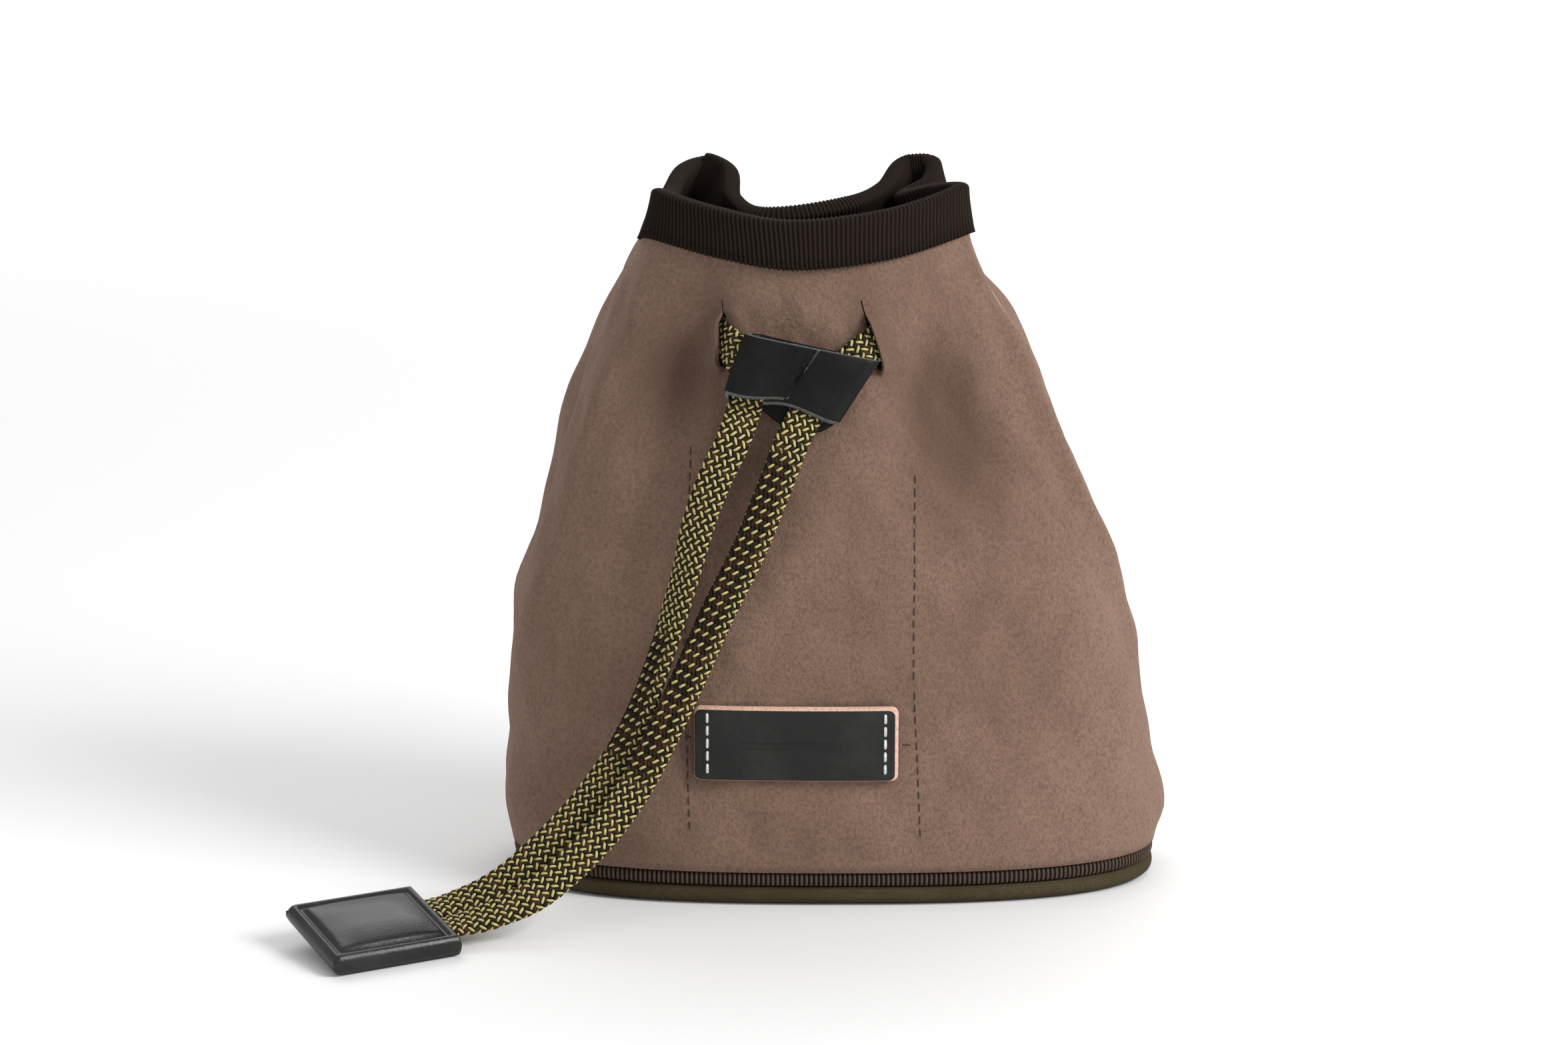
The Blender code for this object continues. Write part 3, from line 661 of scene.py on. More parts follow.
left_slices = resample(whole_line[left_join::-1], whole_faces[left_join::-1], BRAID_STEP)
right_slices = resample(whole_line[right_join:], whole_faces[right_join:], BRAID_STEP)
ring_slices = resample(
    whole_line[left_join : right_join + 1], whole_faces[left_join : right_join + 1], 2 * BRAID_STEP
)
left_cord = braid("left_cord_tail", left_slices, BASKET_LEFT, braid_finish)
right_cord = braid("right_cord_tail", right_slices, BASKET_RIGHT, braid_finish)
ring_cord = braid("hidden_cord", ring_slices, 0.0, braid_finish)
for piece, node in ((left_cord, "cord_left"), (right_cord, "cord_right"), (ring_cord, "cord_ring")):
    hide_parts(node)

# The suede body
# Soft brown suede, one piece round the pouch, bound at the top and sewn to the base. A slit on each side of the
# front lets the cord out; its outer lip rises over the cord and its inner one lies under it.
SUEDE_COLUMNS = 250
SUEDE_LOW_ROWS = 56
SUEDE_FINE_ROWS = 40
SUEDE_FINE_FROM = 0.74
SUEDE_FINE_TO = 0.9
BINDING_DROP = 10.3 * MM
SLIT_BELOW = 6.0 * MM
SLIT_ABOVE = 10.5 * MM
SLIT_HALF_OPEN = 0.16 * MM
LIP_OUT = 3.2 * MM
LIP_OUT_REACH = 2.9 * MM
LIP_IN = 2.0 * MM
LIP_IN_REACH = 1.6 * MM
LIP_FULL = 4.6 * MM
LIP_FADE = 3.4 * MM
Slit = namedtuple("Slit", "name x z outer_side")
SLITS = (Slit("left", -26.4, 137.4, -1), Slit("right", 9.0, 137.0, 1))

Wave = namedtuple("Wave", "round up phase depth")
WAVES = (
    Wave(9, 2.3, 0.4, 0.30),
    Wave(14, -3.7, 1.9, 0.24),
    Wave(23, 5.1, 3.3, 0.16),
    Wave(31, -6.4, 5.0, 0.12),
    Wave(47, 9.0, 2.2, 0.07),
    Wave(5, 7.5, 4.1, 0.25),
)


def fine_shares(places):
    """Even shares round the wall, with closer ones beside each slit and a pair at its two lips."""
    beside = np.array([0, 0.35, 0.75, 1.2, 1.7, 2.3, 3.0, 3.8, 4.8, 6.0]) * MM
    kept = np.arange(SUEDE_COLUMNS) / SUEDE_COLUMNS
    near = []
    for share, per_share in places:
        offsets = (SLIT_HALF_OPEN + beside) / per_share
        near += list(np.mod(share + offsets, 1)) + list(np.mod(share - offsets, 1))
        kept = kept[np.abs(round_from(kept, share)) > offsets[-1]]
    return np.sort(np.concatenate([kept, near]))


def suede_ripple(share, rise):
    """Small soft unevenness of the hand-cut suede, none at the seams."""
    total = 0 * share
    for wave in WAVES:
        total += wave.depth * MM * np.sin(2 * math.pi * (wave.round * share + wave.up * rise) + wave.phase)
    return total * smoothly(rise / 0.06) * smoothly((0.93 - rise) / 0.08)


slit_places = []
for slit in SLITS:
    share, rise = front_place(slit.x * MM, slit.z * MM)
    reach = np.linalg.norm(dented_wall(share + 0.002, rise) - dented_wall(share - 0.002, rise)) / 0.004
    slit_places.append((float(share), float(rise), reach, slit.outer_side))
shares = fine_shares([(share, reach) for share, _, reach, _ in slit_places])
plain_rises = np.concatenate([
    np.linspace(0, SUEDE_FINE_FROM, SUEDE_LOW_ROWS),
    np.linspace(SUEDE_FINE_FROM, SUEDE_FINE_TO, SUEDE_FINE_ROWS + 1)[1:],
])
drops = np.array([13.0, 11.6, BINDING_DROP / MM, 7.0, 3.5, 0.0]) * MM
wall_heights = rim_height(shares) - SEAM_HEIGHT
rises = np.hstack([
    np.repeat(plain_rises[None], len(shares), 0),
    1 - drops[None] / wall_heights[:, None],
])
share_grid = np.repeat(shares[:, None], rises.shape[1], 1)
point, normal, up = wall_frame(share_grid, rises)
shift = suede_ripple(share_grid, rises)
slit_cells = np.zeros(rises.shape, bool)
for share, rise, reach, outer_side in slit_places:
    aside = round_from(share_grid, share) * reach
    above = (rises - rise) * wall_heights[:, None]
    bump = smoothly((LIP_FULL + LIP_FADE - np.abs(above)) / LIP_FADE)
    outer = aside * outer_side > 0
    shift += bump * np.where(
        outer, LIP_OUT * np.exp(-np.abs(aside) / LIP_OUT_REACH), -LIP_IN * np.exp(-np.abs(aside) / LIP_IN_REACH)
    )
    first = np.argmin(np.abs(round_from(shares, share - SLIT_HALF_OPEN / reach)))
    slit_cells[first] |= (above[first] > -SLIT_BELOW) & (above[first] < SLIT_ABOVE)
outside = point + shift[..., None] * normal
inside = outside - WALL * normal
columns, rows = rises.shape
behind_it = columns * rows
index = np.arange(behind_it).reshape(columns, rows)


def edge_quad(first, second):
    """The face across the suede's thickness, between two points of its outer side and the two behind them."""
    return [first, second, second + behind_it, first + behind_it]


suede_faces = []
for c in range(columns):
    n = (c + 1) % columns
    for r in range(rows - 1):
        if slit_cells[c, r] and slit_cells[c, r + 1]:
            suede_faces += [edge_quad(index[c, r], index[c, r + 1]), edge_quad(index[n, r + 1], index[n, r])]
            continue
        quad = np.array([index[c, r], index[n, r], index[n, r + 1], index[c, r + 1]])
        suede_faces += [quad, quad[[0, 3, 2, 1]] + behind_it]
    suede_faces += [edge_quad(index[c, -1], index[n, -1]), edge_quad(index[n, 0], index[c, 0])]
for c in np.nonzero(slit_cells.any(1))[0]:
    n = (c + 1) % columns
    rows_open = np.nonzero(slit_cells[c])[0]
    low, high = rows_open[0], rows_open[-1]
    suede_faces += [edge_quad(index[c, low], index[n, low]), edge_quad(index[n, high], index[c, high])]

# The suede's own tones; the dark one serves both its nap and the painted shade, the pale one the painted light.
SUEDE_MID = (0.195, 0.121, 0.089, 1)
SUEDE_LIGHT = (0.240, 0.152, 0.114, 1)
SUEDE_NAP_AND_SHADE_DARK = (0.090, 0.053, 0.038, 1)
SUEDE_PAINTED_LIGHT = (0.330, 0.220, 0.170, 1)
suede = Finish(
    "brown suede", Roughness=0.95, Sheen_Weight=0.28, Sheen_Roughness=0.5, Sheen_Tint=(0.70, 0.52, 0.42, 1),
    Specular_IOR_Level=0.1,
)
nap = suede.noise(3400, 2.0, 0.6)
tufts = suede.noise(1200, 2.0, 0.6, (1, 1, 0.8))
brushed = suede.noise(170, 3.0, 0.55, (1, 1, 0.6))
clouds = suede.noise(26, 2.0, 0.5)
tone = suede.mix(suede.between(brushed * 0.3 + clouds * 0.7, 0.34, 0.66), SUEDE_MID, SUEDE_LIGHT)
tone = suede.mix(suede.between(tufts * 0.5 + nap * 0.5, 0.58, 0.38) * 0.50, tone, SUEDE_NAP_AND_SHADE_DARK)
# Painted shade, carried as a mark of the mesh: darker in the dents, round the slits, beside and under the slider,
# under the binding and down the left side.
tone = suede.mix(suede.mark("painted_shade_mark") * 0.75, tone, SUEDE_NAP_AND_SHADE_DARK)
# Painted light: the gusset behind the right ridge is paler, as on the side that faces the key lamp.
tone = suede.mix(suede.mark("gusset_painted_light") * 0.6, tone, SUEDE_PAINTED_LIGHT)
suede.feed(Base_Color=tone, Normal=suede.bump(nap * 0.6 + tufts * 0.5 + brushed * 0.25, 0.46 * MM, 0.9))

# Painted shade on the front, beside and under the slider, under the binding and down the left side, in millimetres.
ShadePatch = namedtuple("ShadePatch", "name x z wide high depth")
PAINTED_SHADE_PATCHES = (
    ShadePatch("left_of_slider", -42, 131, 12, 14, 0.70),
    ShadePatch("right_of_slider", 29, 112, 9, 21, 0.60),
    ShadePatch("by_right_slit", 17, 125, 8, 11, 0.45),
    ShadePatch("under_slider", -18, 106, 12, 14, 0.40),
    ShadePatch("left_side", -66, 100, 16, 60, 0.30),
    ShadePatch("under_binding", 6, 153, 40, 6, 0.20),
)
# Painted shade in the dents: how dark for each share of depth, and how far past the dent it spreads.
DENT_SHADE = 10.0
DENT_SHADE_SPREAD = 1.2
painted_shade = np.zeros(rises.shape)
for place in PAINTED_SHADE_PATCHES:
    aside = (outside[..., 0] / MM - place.x) / place.wide
    above = (outside[..., 2] / MM - place.z) / place.high
    painted_shade += place.depth * np.exp(-(aside**2) - above**2) * (outside[..., 1] < 0)
for dent in DENTS:
    aside = round_from(share_grid, dent.share) / (DENT_SHADE_SPREAD * dent.spread)
    above = (rises - dent.rise) / (DENT_SHADE_SPREAD * dent.reach)
    painted_shade += DENT_SHADE * max(dent.depth, 0) * np.exp(-(aside**2) - above**2)

# Painted shade also darkens the suede round the slits, and painted light makes the gusset behind the right ridge
# paler.
SLIT_SHADE = 0.8
SLIT_SHADE_UP = 2 * MM
SLIT_SHADE_WIDE = 5.5 * MM
SLIT_SHADE_HIGH = 11 * MM
GUSSET_SHARE = 0.085
GUSSET_FADE_IN = 0.010
GUSSET_FADE_OUT = 0.04
GUSSET_FADE_LOW = 0.4
for share, rise, reach, _ in slit_places:
    aside = round_from(share_grid, share) * reach / SLIT_SHADE_WIDE
    above = ((rises - rise) * wall_heights[:, None] - SLIT_SHADE_UP) / SLIT_SHADE_HIGH
    painted_shade += SLIT_SHADE * np.exp(-(aside**2) - above**2)
painted_shade = np.clip(painted_shade, 0, 1)
# Painted light on the gusset behind the right ridge: paler past the ridge, fading out towards the back and towards the
# base.
ridge = FOLDS[0]
up_ridge = (rises - ridge.rise_low) / (ridge.rise_high - ridge.rise_low)
past = share_grid - ridge.share_low - (ridge.share_high - ridge.share_low) * np.clip(up_ridge, 0, 1)
gusset_painted_light = smoothly(past / GUSSET_FADE_IN) * smoothly((GUSSET_SHARE - past) / GUSSET_FADE_OUT)
gusset_painted_light = gusset_painted_light * smoothly(up_ridge / GUSSET_FADE_LOW)
# The suede carries its painted shade and the gusset's painted light as marks for its finish.
body = mesh_object(
    "suede_body", np.vstack([outside.reshape(-1, 3), inside.reshape(-1, 3)]), suede_faces, [suede],
    {"painted_shade_mark": np.tile(painted_shade.ravel(), 2), "gusset_painted_light": np.tile(gusset_painted_light.ravel(), 2)},
)
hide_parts("outer_shell")

# The thread lines on the suede
# Fine brown thread runs down each side of the front, where an inner seam is caught, with short bars at the label.
THREAD_PITCH = 3.1 * MM
THREAD_LENGTH = 2.3 * MM
THREAD_HALF = 0.17 * MM
Seam = namedtuple("Seam", "name x_high z_high x_low z_low")
SEAMS = (
    Seam("left_upper", -35.0, 113.0, -36.2, 64.0),
    Seam("left_lower", -36.3, 46.5, -35.4, 18.4),
    Seam("right_upper", 18.8, 106.0, 18.6, 56.0),
    Seam("right_lower", 18.8, 54.0, 20.6, 17.0),
    Seam("left_bar", -37.0, 41.8, -34.6, 41.8),
    Seam("right_bar", 15.4, 40.4, 19.4, 40.2),
)


def capsules(name, starts, ends, facing, half, finish, sink=0.2, sides=6):
    """Short round-ended stitches, each between two points, a little sunk into what they lie on."""
    starts, ends, facing = (np.asarray(v) for v in (starts, ends, facing))
    ahead = unit(ends - starts)
    side = unit(np.cross(facing, ahead))
    f = np.array([0.0, 0.06, 0.22, 0.5, 0.78, 0.94, 1.0])
    wide = np.array([0.25, 0.75, 1.0, 1.0, 1.0, 0.75, 0.25])
    high = np.array([-0.9, -0.15, 0.35, 0.55, 0.35, -0.15, -0.9]) - sink
    points, faces = [], []
    for k in range(len(starts)):
        line = starts[k] + (ends[k] - starts[k]) * f[:, None] + facing[k] * (half * high)[:, None]
        angle = 2 * math.pi * np.arange(sides) / sides
        ring = (
            line[:, None]
            + side[k] * (half * wide)[:, None, None] * np.cos(angle)[None, :, None]
            + facing[k] * (half * wide * 0.8)[:, None, None] * np.sin(angle)[None, :, None]
        )
        faces += tube_faces(len(f), sides, len(points) * len(f) * sides)
        points.append(ring.reshape(-1, 3))
    return mesh_object(name, np.vstack(points), faces, [finish])


thread_starts, thread_ends, thread_facing = [], [], []
for seam in SEAMS:
    long = math.hypot(seam.x_low - seam.x_high, seam.z_low - seam.z_high) * MM
    count = max(round(long / THREAD_PITCH), 1)
    f = (np.arange(count) + 0.15) / count
    g = f + THREAD_LENGTH / max(long, THREAD_PITCH)
    for shares_at, found in ((f, thread_starts), (g, thread_ends)):
        x = (seam.x_high + (seam.x_low - seam.x_high) * shares_at) * MM
        z = (seam.z_high + (seam.z_low - seam.z_high) * shares_at) * MM
        place = front_place(x, z)
        spot, facing_out, _ = wall_frame(*place)
        found += list(spot + suede_ripple(*place)[:, None] * facing_out)
    thread_facing += list(facing_out)
brown_thread = Finish("dark brown thread", Base_Color=(0.040, 0.024, 0.017, 1), Roughness=0.8)
brown_thread.feed(Normal=brown_thread.bump(brown_thread.noise(6000), 0.05 * MM))
front_threads = capsules(
    "front_thread_lines", thread_starts, thread_ends, thread_facing, THREAD_HALF, brown_thread, sink=-0.1
)

# The mouth binding
# Black ribbed tape, folded over the raw rim and sewn through near its lower edge. The ribs run across the tape, and
# its woven edges are finely scalloped by them.
BINDING_GAP = 0.55 * MM
BINDING_THICK = 0.8 * MM
RIB_PITCH = 1.12 * MM
RIB_STEPS = 6
RIB_HALF_HIGH = 0.15 * MM
BINDING_OUTSIDE = BINDING_GAP + BINDING_THICK
BINDING_INSIDE = -(WALL + BINDING_GAP + BINDING_THICK)
STITCH_UP = 1.7 * MM
# The tape's black, and the painted highlight of its rib crests.
TAPE_BLACK = (0.0040, 0.0027, 0.0021, 1)
TAPE_RIB_HIGHLIGHT = (0.0230, 0.0155, 0.0115, 1)


def ribbed(line_at, pitch):
    """Shares for even columns round a closed line, a whole number of ribs, and each column's place on its rib."""
    trial = np.linspace(0, 1, 4001)
    way = way_along(line_at(trial))
    ribs = round(way[-1] / pitch)
    at = np.arange(ribs * RIB_STEPS) / (ribs * RIB_STEPS) * way[-1]
    return np.interp(at, way, trial), 2 * math.pi * np.arange(ribs * RIB_STEPS) / RIB_STEPS


def closed_loft(name, rings, finish, marks):
    """A closed band through rings, each of them a closed outline."""
    count, outline = rings.shape[:2]
    c = np.arange(count)[:, None]
    o = np.arange(outline)[None, :]
    n, m = (c + 1) % count, (o + 1) % outline
    quads = np.stack([c * outline + o, n * outline + o, n * outline + m, c * outline + m], -1).reshape(-1, 4)
    return mesh_object(name, rings.reshape(-1, 3), quads, [finish], marks)


tape_shares, rib_phase = ribbed(lambda s: wall(s, 1.0), RIB_PITCH)
rib = 0.5 + 0.5 * np.cos(rib_phase)
skin = np.linspace(0, 1, 9)
over = np.linspace(0, math.pi, 10)[1:-1]
middle = (BINDING_OUTSIDE + BINDING_INSIDE) / 2
half_fold = (BINDING_OUTSIDE - BINDING_INSIDE) / 2
tape_outline = [(BINDING_OUTSIDE, BINDING_DROP * (1 - f), 1, 0) for f in skin]
tape_outline += [
    (middle + half_fold * math.cos(a), -BINDING_OUTSIDE * math.sin(a) ** 0.8, math.cos(a), math.sin(a)) for a in over
]
tape_outline += [(BINDING_INSIDE, BINDING_DROP * f, -1, 0) for f in skin]
under_side = -(WALL + BINDING_GAP)
tape_outline += [(under_side, BINDING_DROP * f, 0, 0) for f in (1.0, 0.5)]
tape_outline += [(under_side, -BINDING_GAP, 0, 0), (BINDING_GAP, -BINDING_GAP, 0, 0)]
tape_outline += [(BINDING_GAP, BINDING_DROP * f, 0, 0) for f in (0.5, 1.0)]
tape_rings, tape_rib_light, tape_groove_shade = [], [], []
for out, drop, way_out, way_up in tape_outline:
    groove = 0.0
    if way_out and drop > 0:
        groove = math.exp(-(((BINDING_DROP - drop - STITCH_UP) / (0.5 * MM)) ** 2))
    scallop = 0.36 * MM * rib if drop >= BINDING_DROP else 0.0
    relief = RIB_HALF_HIGH * (2 * rib - 1) - 0.12 * MM * groove
    tape_rings.append(
        wall(tape_shares, 1.0, out + way_out * relief, rim_drop=drop - way_up * relief + scallop + 0 * rib)
    )
    # Painted light on the rib crests of the faces that show, and painted shade along the sunk stitch line.
    tape_rib_light.append(rib * (1 if way_out or way_up else 0))
    tape_groove_shade.append(groove + 0 * rib)
black_tape = Finish("black ribbed tape", Roughness=0.75, Specular_IOR_Level=0.06)
tape_fibre = black_tape.noise(3500, 2.0, 0.6, (1, 1, 0.3))
# Painted light and shade: the rib crests lighter, the grooves and the stitch line black, with fine fibre tone.
tape_tone = black_tape.mix(black_tape.mark("rib") * 0.8 + tape_fibre * 0.25, TAPE_BLACK, TAPE_RIB_HIGHLIGHT)
black_tape.feed(
    Base_Color=black_tape.mix(black_tape.mark("sewn") * 0.5, tape_tone, TAPE_BLACK),
    Normal=black_tape.bump(tape_fibre, 0.10 * MM, 0.7),
)
binding = closed_loft(
    "ribbed_mouth_binding", np.stack(tape_rings, 1), black_tape,
    {"rib": np.stack(tape_rib_light, 1), "sewn": np.stack(tape_groove_shade, 1)},
)
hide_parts("mouth_binding")

BINDING_STITCH = 2.9 * MM
trial = np.linspace(0, 1, 4001)
sewn_way = way_along(wall(trial, 1.0, 0.0, rim_drop=BINDING_DROP - STITCH_UP + 0 * trial))
sewn_count = round(sewn_way[-1] / BINDING_STITCH)
sewn_at = np.arange(sewn_count) / sewn_count
black_thread = Finish(
    "black thread", Base_Color=(0.0075, 0.0058, 0.0048, 1), Roughness=0.7, Specular_IOR_Level=0.1
)
black_thread.feed(Normal=black_thread.bump(black_thread.noise(6000), 0.05 * MM))
sewn_starts, sewn_ends, sewn_facing = [], [], []
for out, way_out in ((BINDING_OUTSIDE, 1), (BINDING_INSIDE, -1)):
    for f, found in ((sewn_at, sewn_starts), (sewn_at + 0.74 / sewn_count, sewn_ends)):
        share = np.interp(f * sewn_way[-1], sewn_way, trial)
        found += list(wall(share, 1.0, out, rim_drop=BINDING_DROP - STITCH_UP + 0 * share))
    rise = 1 - (BINDING_DROP - STITCH_UP) / (rim_height(share) - SEAM_HEIGHT)
    sewn_facing += list(way_out * wall_frame(share, rise)[1])
binding_thread = capsules("binding_thread", sewn_starts, sewn_ends, sewn_facing, 0.16 * MM, black_thread)

# The base piping
# Dark brown ribbed tape, caught in the seam between the suede and the base; only its ribbed edge shows.
PIPING_WIDTH = 3.2 * MM
PIPING_SET_BACK = 0.4 * MM
PIPING_RIB = 1.17 * MM
# Painted shade for the grooves between the ribs, and the tape's brown.
PIPING_GROOVE_SHADE = (0.007, 0.0045, 0.0035, 1)
PIPING_BROWN = (0.088, 0.061, 0.041, 1)


def foot_point(share, inset, height):
    """Points of the base's outline, set in and at a height."""
    point, normal, _ = wall_frame(share, 0.0)
    level = unit(normal * np.array([1, 1, 0]))
    flat = point - np.asarray(inset)[..., None] * level
    return np.stack([flat[..., 0], flat[..., 1], np.broadcast_to(height, flat.shape[:-1])], -1)


piping_shares, piping_phase = ribbed(lambda s: foot_point(s, 0.0, 0.0), PIPING_RIB)
piping_rib = 0.5 + 0.5 * np.cos(piping_phase)
piping_low = PANEL_THICK + GAP
piping_arc = np.linspace(-math.pi / 2, math.pi / 2, 9)
piping_round = 1.1 * MM
piping_outline = [(PIPING_SET_BACK + PIPING_WIDTH, piping_low, 0.0)]
for a in piping_arc:
    inset = PIPING_SET_BACK + piping_round * (1 - math.cos(a) ** 0.7)
    height = piping_low + PIPING_HEIGHT * (0.5 + 0.5 * math.sin(a))
    piping_outline.append((inset, height, math.cos(a) ** 0.5 if abs(a) < 1.5 else 0.0))
piping_outline.append((PIPING_SET_BACK + PIPING_WIDTH, piping_low + PIPING_HEIGHT, 0.0))
piping_rings = [
    foot_point(piping_shares, inset - ribbing * 0.34 * MM * (piping_rib - 0.8), height)
    for inset, height, ribbing in piping_outline
]
brown_tape = Finish("dark ribbed seam tape", Roughness=0.75, Specular_IOR_Level=0.1)
seam_fibre = brown_tape.noise(3500, 2.0, 0.6)
# Painted shade: the tape is brown on its rib crests, and nearly black in the grooves between them and where it meets
# the suede and the base.
brown_tape.feed(
    Base_Color=brown_tape.mix(
        brown_tape.between(brown_tape.mark("rib") + seam_fibre * 0.3, 0.25, 1.1), PIPING_GROOVE_SHADE, PIPING_BROWN
    ),
    Normal=brown_tape.bump(seam_fibre, 0.10 * MM, 0.7),
)
piping = closed_loft(
    "ribbed_base_piping", np.stack(piping_rings, 1), brown_tape,
    {"rib": np.stack([piping_rib * min(ribbing * 2, 1) for _, _, ribbing in piping_outline], 1)},
)
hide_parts("base_piping")

# The padded base
# Olive-brown cloth over a stiff padded bottom, with a soft pillowed edge and a flat underside.
BASE_COLUMNS = 300
PILLOW_UNDER = 2.6 * MM
PILLOW_OVER = 1.3 * MM
PILLOW_WIDEST = 0.52
BASE_OLIVE = (0.050, 0.038, 0.019, 1)
BASE_DARK = (0.034, 0.026, 0.013, 1)
BASE_LIGHT = (0.066, 0.051, 0.028, 1)
base_shares = np.arange(BASE_COLUMNS) / BASE_COLUMNS
base_rings = []
for f in np.linspace(0, 1, 15):
    if f < PILLOW_WIDEST:
        inset = PILLOW_UNDER * ((PILLOW_WIDEST - f) / PILLOW_WIDEST) ** 2.6
    else:
        inset = PILLOW_OVER * ((f - PILLOW_WIDEST) / (1 - PILLOW_WIDEST)) ** 2.4
    base_rings.append(foot_point(base_shares, PIPING_SET_BACK + inset, f * PANEL_THICK))
base_rings = np.array(base_rings)
base_faces = tube_faces(len(base_rings), BASE_COLUMNS)
olive_cloth = Finish("olive base cloth", Roughness=0.85, Specular_IOR_Level=0.1)
cloth_place = olive_cloth.node("ShaderNodeTexCoord", output=3)
warp, weft, course = (
    olive_cloth.node(
        "ShaderNodeTexWave", {"bands_direction": way}, {"Vector": cloth_place, "Scale": 480.0, "Distortion": 1.5}, 1
    )
    for way in "XYZ"
)
weave = (warp + weft + course) * 0.33
cloth_shade = olive_cloth.noise(60, 3.0, 0.6)
cloth_tone = olive_cloth.mix(olive_cloth.between(cloth_shade, 0.38, 0.66), BASE_OLIVE, BASE_LIGHT)
olive_cloth.feed(
    Base_Color=olive_cloth.mix(olive_cloth.between(weave, 0.62, 0.30) * 0.5, cloth_tone, BASE_DARK),
    Normal=olive_cloth.bump(weave + cloth_shade * 0.4, 0.08 * MM, 0.6),
)
base = mesh_object("padded_base", base_rings.reshape(-1, 3), base_faces, [olive_cloth])
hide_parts("base_panel")

# The leather patch
# Smooth black leather with rounded corners and a raw pinkish cut edge, sewn on with a row of white thread at each
# end. Its face is left bare.
LABEL_WIDTH = 49 * MM
LABEL_HEIGHT = 18.5 * MM
LABEL_THICK = 1.4 * MM
LABEL_ASIDE = -9.5 * MM
LABEL_UP = 40.9 * MM
LABEL_CORNER = 1.6 * MM
LABEL_STITCH_IN = 3.2 * MM
LABEL_STITCHES = 5
LABEL_PITCH = 3.15 * MM
LEATHER_BLACK = (0.0085, 0.0085, 0.0080, 1)
LEATHER_GREY = (0.0210, 0.0210, 0.0200, 1)
RAW_EDGE = (0.740, 0.480, 0.370, 1)
RAW_EDGE_DARK = (0.480, 0.290, 0.220, 1)


def rounded_outline(half_wide, half_high, corner, each=8):
    """A rounded rectangle, counterclockwise from its lower right corner."""
    points = []
    for k, (x, y) in enumerate(((1, -1), (1, 1), (-1, 1), (-1, -1))):
        for a in np.linspace((k - 1) * math.pi / 2, k * math.pi / 2, each):
            points.append((x * (half_wide - corner) + corner * math.cos(a),
                           y * (half_high - corner) + corner * math.sin(a)))
        following = ((1, 1), (-1, 1), (-1, -1), (1, -1))[k]
        start = np.array(points[-1])
        end_angle = k * math.pi / 2
        end = np.array([following[0] * (half_wide - corner) + corner * math.cos(end_angle),
                        following[1] * (half_high - corner) + corner * math.sin(end_angle)])
        points += [tuple(start + (end - start) * f) for f in np.linspace(0, 1, 14)[1:-1]]
    return np.array(points)


def leather_finish(name, roughness, specular, light=LEATHER_GREY, dark=LEATHER_BLACK):
    """Black leather with a fine pebble and soft wear."""
    made = Finish(name, Specular_IOR_Level=specular)
    pebble = made.node(
        "ShaderNodeTexVoronoi", {"feature": "SMOOTH_F1"},
        {"Vector": made.node("ShaderNodeTexCoord", output=3), "Scale": 1400.0, "Smoothness": 0.6}
    )
    grain = made.noise(700, 3.0, 0.6)
    wear = made.noise(70, 2.0, 0.5)
    made.feed(
        Base_Color=made.mix(made.between(wear + grain * 0.3, 0.50, 0.90), dark, light),
        Roughness=wear * 0.18 + (roughness - 0.09),
        Normal=made.bump(pebble * 0.5 + grain * 0.5, 0.10 * MM, 0.55),
    )
    return made


smooth_leather = leather_finish("smooth black leather", 0.46, 0.28)
raw_leather = Finish("raw pinkish leather edge", Roughness=0.9, Specular_IOR_Level=0.2)
edge_fibre = raw_leather.noise(1800, 3.0, 0.7)
raw_leather.feed(
    Base_Color=raw_leather.mix(raw_leather.between(edge_fibre, 0.35, 0.7), RAW_EDGE, RAW_EDGE_DARK),
    Normal=raw_leather.bump(edge_fibre, 0.15 * MM),
)
label_outline = rounded_outline(LABEL_WIDTH / 2, LABEL_HEIGHT / 2, LABEL_CORNER)
LABEL_SLIP = np.array([-0.34, -0.30]) * MM

# The patch's edge and face, from the suede up: how far in, how high as a share of its thickness, and how much of the
# slip that shows the raw edge at the top and right. The first bands between the levels are raw.
RAW_BANDS = 3
Level = namedtuple("Level", "inset height slip")
LABEL_LEVELS = (
    Level(0.00, 0.00, 0.0),
    Level(0.00, 0.45, 0.0),
    Level(0.25, 0.80, 0.5),
    Level(0.52, 0.96, 1.0),
    Level(0.90, 1.00, 1.0),
    Level(1.80, 1.00, 1.0),
    Level(3.20, 1.00, 1.0),
    Level(4.80, 1.00, 1.0),
    Level(6.60, 1.00, 1.0),
    Level(8.40, 1.00, 1.0),
)


def label_point(x, z, out):
    """Points of the patch, which lies on the bellied front of the wall."""
    share, rise = front_place(LABEL_ASIDE + x, LABEL_UP + z)
    return wall(share, rise, out)


label_rings = []
for level in LABEL_LEVELS:
    half = np.array([LABEL_WIDTH / 2, LABEL_HEIGHT / 2])
    ring = label_outline * (half - level.inset * MM) / half + level.slip * LABEL_SLIP
    label_rings.append(label_point(ring[:, 0], ring[:, 1], FRONT_GAP + level.height * LABEL_THICK))
sides = len(label_outline)
label_faces = tube_faces(len(label_rings), sides)
label_kinds = [int(k < RAW_BANDS * sides) for k in range(len(label_faces))]
label = mesh_object("leather_patch", np.vstack(label_rings), label_faces, [smooth_leather, raw_leather],
                    face_finish=label_kinds)
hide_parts("label_patch")

